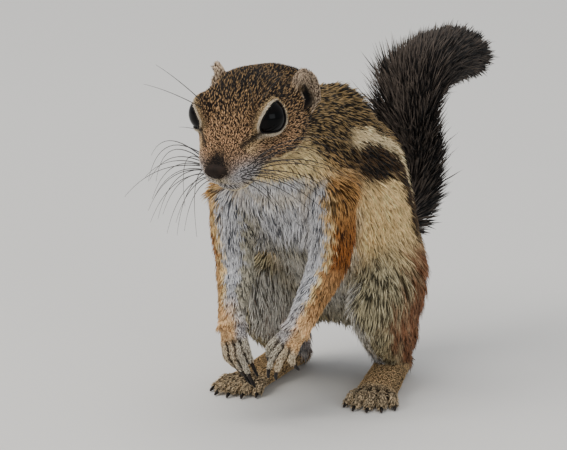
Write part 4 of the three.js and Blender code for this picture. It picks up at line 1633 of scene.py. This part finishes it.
def tuft_tints(hair, is_dark, draw, kind, is_tail, fringe):
    """The colours of each tuft at its root, its rings and its tip."""
    count = len(is_dark)
    is_dark = is_dark[:, None]
    tone = (1 + 0.14 * draw.standard_normal(count))[:, None].clip(0.6, 1.5)
    tip = (hair.pale + is_dark * (hair.dark - hair.pale)) * tone
    mean = hair.pale + hair.share[:, None] * (hair.dark - hair.pale)
    root = mean * 0.35
    near = 0.35 * tip + 0.65 * mean * 0.7
    if is_tail:
        frosted = ease(draw.random(count), 0.93 - 0.45 * fringe, 0.81 - 0.45 * fringe)[:, None]
        frost = np.array(hair.colours.tail_pale)
        black = np.array(hair.colours.tail_dark)
        past_base = ease(hair.share, 0.6, 0.8)[:, None]
        tip = tip + past_base * (black + frosted * (frost - black) * tone - tip)
        root = root + past_base * (0.6 * black + 0.1 * frost - root)
        near = near + past_base * (black * tone - near)
    if len(kind["rings"]) == 1:
        shades = (0.6 * root, 0.85 * tip + 0.1 * root, tip)
    else:
        shades = (root, near, 0.9 * tip + 0.1 * mean, tip)
    return [np.clip(shade, 0, 1) for shade in shades]


def skin_triangles(nodes, hand):
    """The corners of the skin's triangles on some of the nodes, and on one side if hand isn't 0."""
    mesh = BODY["mesh"]
    mesh.calc_loop_triangles()
    faces = np.zeros(len(mesh.loop_triangles) * 3, np.int32)
    mesh.loop_triangles.foreach_get("vertices", faces)
    faces = faces.reshape(-1, 3)
    mine = np.isin(BODY["owner"][faces[:, 0]], [FLESH.index(n) for n in nodes])
    if hand:
        mine &= (BODY["points"][faces[:, 0], 0] > MIDDLE_X) == (hand > 0)
    return faces[mine]


def places_on_unwrap(root, owner, nodes):
    """Each root's place on the unwrap, where every node has its own upright strip."""
    place = np.zeros((len(root), 2))
    for k, node in enumerate(nodes):
        here = owner == FLESH.index(node)
        spot = unwrap(root[here], node)
        spot[:, 0] = (spot[:, 0] + k) / len(nodes)
        place[here] = spot
    return place


def make_coat(name, nodes, kind, hand, sizes, colours, draw):
    """The tufts that grow from some of the nodes, as one piece."""
    faces = skin_triangles(nodes, hand)
    coat = BODY["coat"]
    density = coat["density"] * sizes.tufts * (1 - BODY["bare"])
    chosen, weights = sown(faces, BODY["points"], density, draw)

    def at(values):
        picked = values[faces[chosen]]
        if picked.ndim == 2:
            return (picked * weights).sum(axis=1)
        return (picked * weights[:, :, None]).sum(axis=1)

    root = at(BODY["points"])
    normal = unit(at(BODY["normals"]))
    lie = at(BODY["lie"])
    count = len(root)
    scatter = np.radians(at(coat["spread"])) * draw.standard_normal(count)
    lie = unit(lie - (lie * normal).sum(axis=1, keepdims=True) * normal)
    across = np.cross(normal, lie)
    tall = at(coat["length"]) * (1 + 0.16 * draw.standard_normal(count)).clip(0.55, 1.4)
    regions = {node: at(BODY["regions"][node]) for node in FLESH}
    shown = root + 0.6 * tall[:, None] * lie
    hair = markings(shown, normal, regions, colours)
    luck = even_luck(root, kind["cell"], draw)
    is_dark = ease(luck, hair.share + 0.03, hair.share - 0.03)
    lie = lie * np.cos(scatter)[:, None] + across * np.sin(scatter)[:, None]
    rise = at(coat["depth"]) / np.maximum(tall, 0.1) * (0.8 + 0.3 * draw.random(count))
    rise *= 1.12 - 0.24 * is_dark
    fringe = np.zeros(count)
    is_tail = nodes == TAIL_NODES
    if is_tail:
        tall *= 1 + 0.65 * blob(root, TAIL_PLUME["centre"], TAIL_PLUME["radii"])
        rise *= 0.78
        share, _, away = place_on_line(root, TAIL_LINE)
        fringe = ease(np.abs(unit(away)[:, 0]), 0.35, 0.85)
        fringe = np.maximum(fringe, ease(share, 0.82, 0.95))
    size = {
        "length": tall,
        "width": at(coat["width"]) * (0.8 + 0.4 * draw.random(count)),
        "rise": rise,
        "droop": at(coat["droop"]),
        "gather": at(coat["gather"]),
    }
    tint = tuft_tints(hair, is_dark, draw, kind, is_tail, fringe)
    place = places_on_unwrap(root, BODY["owner"][faces[chosen, 0]], nodes)
    mesh = tuft_mesh(name, root, normal, lie, size, tint, place, kind)
    mesh.materials.append(BODY["hair_material"])
    piece = show(name, mesh)
    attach(piece, "root")
    return piece


def bare_skin(points, regions):
    """Where no hair grows: the eyes' opening, the ear's hollow and the soles."""
    bare = np.zeros(len(points))
    places = in_head(points)
    for side, hand in SIDES.items():
        outside, distance = from_lids(points, side)
        near = (distance < EYE_RADIUS + 1.5) & (places[:, 0] * hand > 0)
        bare = np.maximum(bare, near * (outside < 0.18))
        bare = np.maximum(bare, near_ear(points, side) * (ear_dent(points, side) > 0.3))
        foot = regions["hind_foot_" + side]
        bare = np.maximum(bare, foot * (points[:, 2] < 0.9))
    return bare


# ------------------------------------------------------------------ eyes, lids and nose


def make_eye(side, colours):
    """One eyeball, which knows how far round each point is from its pupil."""
    work = bmesh.new()
    bmesh.ops.create_uvsphere(work, u_segments=64, v_segments=40, radius=EYE_RADIUS * MM)
    gaze = HEAD_AXES @ (LIDS[side].axis * (SIDES[side], 1, 1))
    turn = Vector(gaze).to_track_quat("Z", "Y").to_matrix().to_4x4()
    placed = Matrix.Translation(Vector(EYES[side] * MM)) @ turn
    bmesh.ops.transform(work, matrix=placed, verts=work.verts)
    mesh = mesh_from(work, "eyeball_" + side)
    smooth_faces(mesh)
    off = unit(points_of(mesh) - EYES[side])
    number_points(mesh, "from_pupil", np.arccos(np.clip(off @ gaze, -1, 1)))
    mesh.materials.append(eye_finish(colours))
    return show("eyeball_" + side, mesh)


def tube(name, points, radii, closed, resolution):
    """A round tube along a line, as a mesh."""
    curve = bpy.data.curves.new(name, "CURVE")
    curve.dimensions = "3D"
    spline = curve.splines.new("POLY")
    spline.points.add(len(points) - 1)
    for point, place, radius in zip(spline.points, points, radii):
        point.co = (*(place * MM), 1)
        point.radius = radius
    spline.use_cyclic_u = closed
    curve.bevel_depth = MM
    curve.bevel_resolution = resolution
    curve.use_fill_caps = not closed
    holder = bpy.data.objects.new(name, curve)
    bpy.context.scene.collection.objects.link(holder)
    graph = bpy.context.evaluated_depsgraph_get()
    mesh = bpy.data.meshes.new_from_object(holder.evaluated_get(graph))
    bpy.data.objects.remove(holder)
    bpy.data.curves.remove(curve)
    return mesh


def make_lid_rim(side, sizes, colours):
    """The bare rim that runs round the opening of one eye."""
    name = "lid_rim_" + side
    loop = LIDS[side].loop * (SIDES[side], 1, 1) * (EYE_RADIUS + 0.12)
    points = loop @ HEAD_AXES.T + EYES[side]
    mesh = tube(name, points, [sizes.lid_rim / MM] * len(points), True, 3)
    smooth_faces(mesh)
    mesh.materials.clear()
    mesh.materials.append(bare_finish("lid_skin", tuple(colours.rim), 0.35, 3000, 0.0001))
    return show(name, mesh)


NOSE_PAD = {"at": (-0.5, 0.6, -1.3), "radii": (3.55, 1.8, 2.05)}  # in the head's frame


def make_nose(colours):
    """A ball drawn to a broad pad that narrows downwards, with two nostrils and a cleft."""
    work = bmesh.new()
    bmesh.ops.create_icosphere(work, subdivisions=5, radius=1)
    for vert in work.verts:
        x, y, z = vert.co
        aside = (abs(x) - 0.52) / 0.2
        above = (z + 0.12 - 0.5 * (abs(x) - 0.5)) / 0.17
        nostril = math.exp(-(aside**2 + above**2))
        cleft = math.exp(-((x / 0.09) ** 2)) * max(0.0, min(1.0, 0.3 - z))
        vert.co.x = x * (1 - 0.28 * max(-z, 0))
        vert.co.y = y + max(-y, 0) * (0.42 * nostril + 0.16 * cleft)
    mesh = mesh_from(work, "nose_pad")
    local = points_of(mesh) * MM * np.array(NOSE_PAD["radii"]) + np.array(NOSE_PAD["at"])
    set_points(mesh, from_head(local))
    smooth_faces(mesh)
    mesh.materials.append(bare_finish("nose_leather", tuple(colours.nose), 0.6, 1800, 0.0003))
    return show("nose_pad", mesh)


CLAW_GROWS = 0.16  # makes up for what smoothing takes off


def make_claws(nodes, name, colours):
    """Smooth copies of one foot's claws, joined, which know how far along each claw they are."""
    work = bmesh.new()
    for node in nodes:
        work.from_mesh(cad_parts[node].data)
    bmesh.ops.remove_doubles(work, verts=work.verts, dist=WELD * MM)
    work.normal_update()
    for vert in work.verts:
        vert.co += vert.normal * CLAW_GROWS * MM
    piece = show(name, mesh_from(work, name))
    smooth = piece.modifiers.new("smooth horn", "SUBSURF")
    smooth.levels = smooth.render_levels = 2
    mesh = baked(piece, name)
    points = points_of(mesh)
    points[:, 2] = np.maximum(points[:, 2], 0)
    set_points(mesh, points)
    along = np.zeros(len(points))
    for node in nodes:
        low, high = (np.array(c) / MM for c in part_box(node))
        inside = ((points > low - 0.3) & (points < high + 0.3)).all(axis=1)
        reach = (high[1] - points[:, 1]) / max(high[1] - low[1], 0.1)
        along = np.where(inside, reach, along)
    number_points(mesh, "to_point", along)
    smooth_faces(mesh)
    mesh.materials.clear()
    mesh.materials.append(horn_finish(colours))
    return show(name, mesh)


# ------------------------------------------------------------------ whiskers

# Rows of whiskers on each pad, from the top: first and last root in the head's frame, number, how
# steeply they rise, and the first and last one's share of the full length. The right side is the
# mirror image, with its own small differences.
WHISKER_ROWS = [
    ((4.6, 2.6, -2.2), (8.2, 7.4, -1.6), 4, 0.5, (0.6, 1.0)),
    ((4.8, 2.4, -3.4), (8.6, 7.2, -3.0), 5, 0.34, (0.6, 1.05)),
    ((4.8, 2.4, -4.4), (8.4, 6.8, -4.4), 5, 0.14, (0.55, 1.0)),
    ((4.2, 2.6, -5.4), (7.4, 6.2, -5.8), 4, -0.15, (0.45, 0.8)),
]
# Two whiskers over each eye and one on the cheek: root, first direction and share of the length.
FACE_WHISKERS = [
    ((7.6, 13.5, 8.6), (0.55, -0.35, 0.9), 0.62),
    ((8.6, 15.5, 9.0), (0.75, 0.1, 0.8), 0.5),
    ((12.4, 18.5, -4.6), (0.9, 0.5, -0.25), 0.5),
]
WHISKER_LEAN = {"left": 0.0, "right": -0.3}  # how much more each side's whiskers rise
MUZZLE_BEND = 0.6  # how much a whisker hangs, as a share of its length
FACE_BEND = 0.15


def whisker_plan(side):
    """The root, first direction, share of the full length and bend of each whisker."""
    plan = []
    for first, last, count, rise, (low, high) in WHISKER_ROWS:
        for i in range(count):
            share = i / (count - 1)
            root = np.array(first) * (1 - share) + np.array(last) * share
            way = np.array([0.93 - 0.1 * share, -0.05 + 0.5 * share, rise + WHISKER_LEAN[side]])
            plan.append((root, way, low + (high - low) * share, MUZZLE_BEND))
    for root, way, share in FACE_WHISKERS:
        plan.append((np.array(root), np.array(way), share, FACE_BEND))
    return plan


def make_whiskers(side, sizes, colours, draw):
    """One side's whiskers, each a tapering hair that starts on the skin and hangs in a curve."""
    hand = SIDES[side]
    tree = tree_of(BODY["points"], BODY["mesh"])
    work = bmesh.new()
    for root, way, share, bend in whisker_plan(side):
        way = unit(way + 0.08 * draw.standard_normal(3))
        reach = sizes.whisker / MM * share * (0.9 + 0.2 * draw.random())
        sag = np.array([-0.25 * hand, 0.3, -1.0]) * bend * (0.7 + 0.6 * draw.random())
        t = np.linspace(0, 1, 14)[:, None]
        start = np.array(tree.find_nearest(Vector(from_head(root * (hand, 1, 1))))[0])
        ahead = HEAD_AXES @ (way * (hand, 1, 1))
        line = start + reach * (ahead * t + sag * t**2) - 0.4 * ahead * (1 - t)
        radii = sizes.whisker_root / MM * (1 - 0.75 * t[:, 0]) * (0.75 + 0.25 * share)
        mesh = tube("whisker", line, radii, False, 1)
        work.from_mesh(mesh)
        bpy.data.meshes.remove(mesh)
    name = "whiskers_" + side
    mesh = mesh_from(work, name)
    smooth_faces(mesh)
    mesh.materials.clear()
    mesh.materials.append(whisker_finish(colours))
    return show(name, mesh)


# ------------------------------------------------------------------ stage

VIEW_TURN = 27  # degrees round from the front, towards the animal's left
VIEW_RISE = 15  # degrees
VIEW_DISTANCE = 4.0  # metres
VIEW_LENS = 990.5
VIEW_CENTRE = (10.63, -59.35, 56.35)
AIM = (0, 0, 0.05)  # where the lights point, in metres
# Each light: where it stands and its size, in metres, its power and its tint.
LIGHTS = {
    "overhead": ((-0.1, -0.1, 1.1), (0.9, 0.9), 7.5, (1, 0.97, 0.93)),
    "key": ((-0.55, -0.75, 0.75), (0.5, 0.5), 6.0, (1, 0.96, 0.9)),
    "fill": ((0.9, -0.6, 0.4), (0.7, 0.5), 2.5, (0.9, 0.95, 1)),
}


def add_light(name, place, size, power, tint):
    lamp = bpy.data.lights.new(name, "AREA")
    lamp.shape = "RECTANGLE"
    lamp.size, lamp.size_y = size
    lamp.energy = power
    lamp.color = tint
    holder = bpy.data.objects.new(name, lamp)
    holder.location = place
    holder.rotation_mode = "QUATERNION"
    holder.rotation_quaternion = (Vector(AIM) - Vector(place)).to_track_quat("-Z", "Y")
    bpy.context.scene.collection.objects.link(holder)


def add_floor(colours):
    """A wide square floor."""
    work = bmesh.new()
    bmesh.ops.create_grid(work, x_segments=1, y_segments=1, size=8)
    mesh = mesh_from(work, "floor")
    mesh.materials.append(floor_finish(colours))
    return show("floor", mesh)


def add_sky():
    """A pale even light from all round."""
    world = bpy.data.worlds.new("studio")
    world.use_nodes = True
    sky = world.node_tree.nodes["Background"]
    sky.inputs["Color"].default_value = (0.93, 0.96, 1, 1)
    sky.inputs["Strength"].default_value = 0.7
    bpy.context.scene.world = world


def add_camera():
    """A long lens a little above the animal and to its left."""
    turn, rise = math.radians(VIEW_TURN), math.radians(VIEW_RISE)
    flat = math.cos(rise)
    back = Vector((math.sin(turn) * flat, -math.cos(turn) * flat, math.sin(rise)))
    camera = bpy.data.objects.new("camera", bpy.data.cameras.new("camera"))
    camera.data.lens = VIEW_LENS
    camera.data.sensor_width = 36
    camera.data.clip_start, camera.data.clip_end = 0.1, 20
    camera.location = Vector(VIEW_CENTRE) * MM + back * VIEW_DISTANCE
    camera.rotation_mode = "QUATERNION"
    camera.rotation_quaternion = (-back).to_track_quat("-Z", "Y")
    bpy.context.scene.collection.objects.link(camera)
    bpy.context.scene.camera = camera


# ------------------------------------------------------------------ operators


def settings(context):
    return context.scene.squirrel_sizes, context.scene.squirrel_colours


def draws(sizes, step):
    return np.random.default_rng([sizes.seed, step])


class SQUIRREL_OT_stage(bpy.types.Operator):
    """Lay a plain pale floor and set soft studio lights and the camera"""

    bl_idname = "squirrel.stage"
    bl_label = "Stage"

    def execute(self, context):
        _, colours = settings(context)
        floor = add_floor(colours)
        add_sky()
        for name, light in LIGHTS.items():
            add_light(name, *light)
        add_camera()
        return {"FINISHED"}


class SQUIRREL_OT_skin(bpy.types.Operator):
    """Grow one skin inside the solids of flesh, with lids, nostrils and mouth"""

    bl_idname = "squirrel.skin"
    bl_label = "Skin"

    def execute(self, context):
        sizes, colours = settings(context)
        skin = make_skin(sizes, colours)
        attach(skin, "root")
        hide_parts(*FLESH)
        return {"FINISHED"}


class SQUIRREL_OT_coat(bpy.types.Operator):
    """Grow the coat's tufts over the skin"""

    bl_idname = "squirrel.coat"
    bl_label = "Coat"

    def execute(self, context):
        sizes, colours = settings(context)
        BODY["hair_material"] = hair_finish("hair", 0.22)
        for step, (name, (nodes, kind, slot, hand)) in enumerate(COAT_PIECES.items()):
            draw = draws(sizes, step)
            make_coat(name, nodes, TUFT_KINDS[kind], hand, sizes, colours, draw)
        return {"FINISHED"}


class SQUIRREL_OT_eyes(bpy.types.Operator):
    """Set the eyeballs in their lids, with the lids' bare rims"""

    bl_idname = "squirrel.eyes"
    bl_label = "Eyes"

    def execute(self, context):
        sizes, colours = settings(context)
        for side in SIDES:
            eye = make_eye(side, colours)
            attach(eye, "root")
            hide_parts("eye_" + side)
            rim = make_lid_rim(side, sizes, colours)
            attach(rim, "root")
        return {"FINISHED"}


class SQUIRREL_OT_nose(bpy.types.Operator):
    """Set the bare nose pad with its nostrils"""

    bl_idname = "squirrel.nose"
    bl_label = "Nose"

    def execute(self, context):
        _, colours = settings(context)
        nose = make_nose(colours)
        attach(nose, "root")
        return {"FINISHED"}


class SQUIRREL_OT_claws(bpy.types.Operator):
    """Finish the claws of all four feet"""

    bl_idname = "squirrel.claws"
    bl_label = "Claws"

    def execute(self, context):
        _, colours = settings(context)
        for side in SIDES:
            for foot in ("fore", "hind"):
                start = f"{foot}_claw_{side}_"
                nodes = sorted(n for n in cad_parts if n.startswith(start))
                claws = make_claws(nodes, f"{foot}_claws_{side}", colours)
                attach(claws, "root")
                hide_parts(*nodes)
        return {"FINISHED"}


class SQUIRREL_OT_whiskers(bpy.types.Operator):
    """Grow the whiskers of the muzzle, brows and cheeks"""

    bl_idname = "squirrel.whiskers"
    bl_label = "Whiskers"

    def execute(self, context):
        sizes, colours = settings(context)
        for step, side in enumerate(SIDES):
            whiskers = make_whiskers(side, sizes, colours, draws(sizes, 50 + step))
            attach(whiskers, "root")
        return {"FINISHED"}


STEPS = (
    SQUIRREL_OT_stage,
    SQUIRREL_OT_skin,
    SQUIRREL_OT_coat,
    SQUIRREL_OT_eyes,
    SQUIRREL_OT_nose,
    SQUIRREL_OT_claws,
    SQUIRREL_OT_whiskers,
)


class SQUIRREL_PT_panel(bpy.types.Panel):
    """The squirrel's sizes, colours and steps"""

    bl_idname = "SQUIRREL_PT_panel"
    bl_label = "Squirrel"
    bl_space_type = "VIEW_3D"
    bl_region_type = "UI"
    bl_category = "Squirrel"

    def draw(self, context):
        for group in settings(context):
            box = self.layout.box()
            for name in group.__annotations__:
                box.prop(group, name)
        for step in STEPS:
            self.layout.operator(step.bl_idname)


CLASSES = (SquirrelSizes, SquirrelColours, *STEPS, SQUIRREL_PT_panel)


def register():
    for cls in CLASSES:
        bpy.utils.register_class(cls)
    bpy.types.Scene.squirrel_sizes = PointerProperty(type=SquirrelSizes)
    bpy.types.Scene.squirrel_colours = PointerProperty(type=SquirrelColours)


def unregister():
    del bpy.types.Scene.squirrel_colours
    del bpy.types.Scene.squirrel_sizes
    for cls in reversed(CLASSES):
        bpy.utils.unregister_class(cls)


def main():
    register()
    for step in STEPS:
        group, name = step.bl_idname.split(".")
        getattr(getattr(bpy.ops, group), name)()


if __name__ == "__main__":
    main()
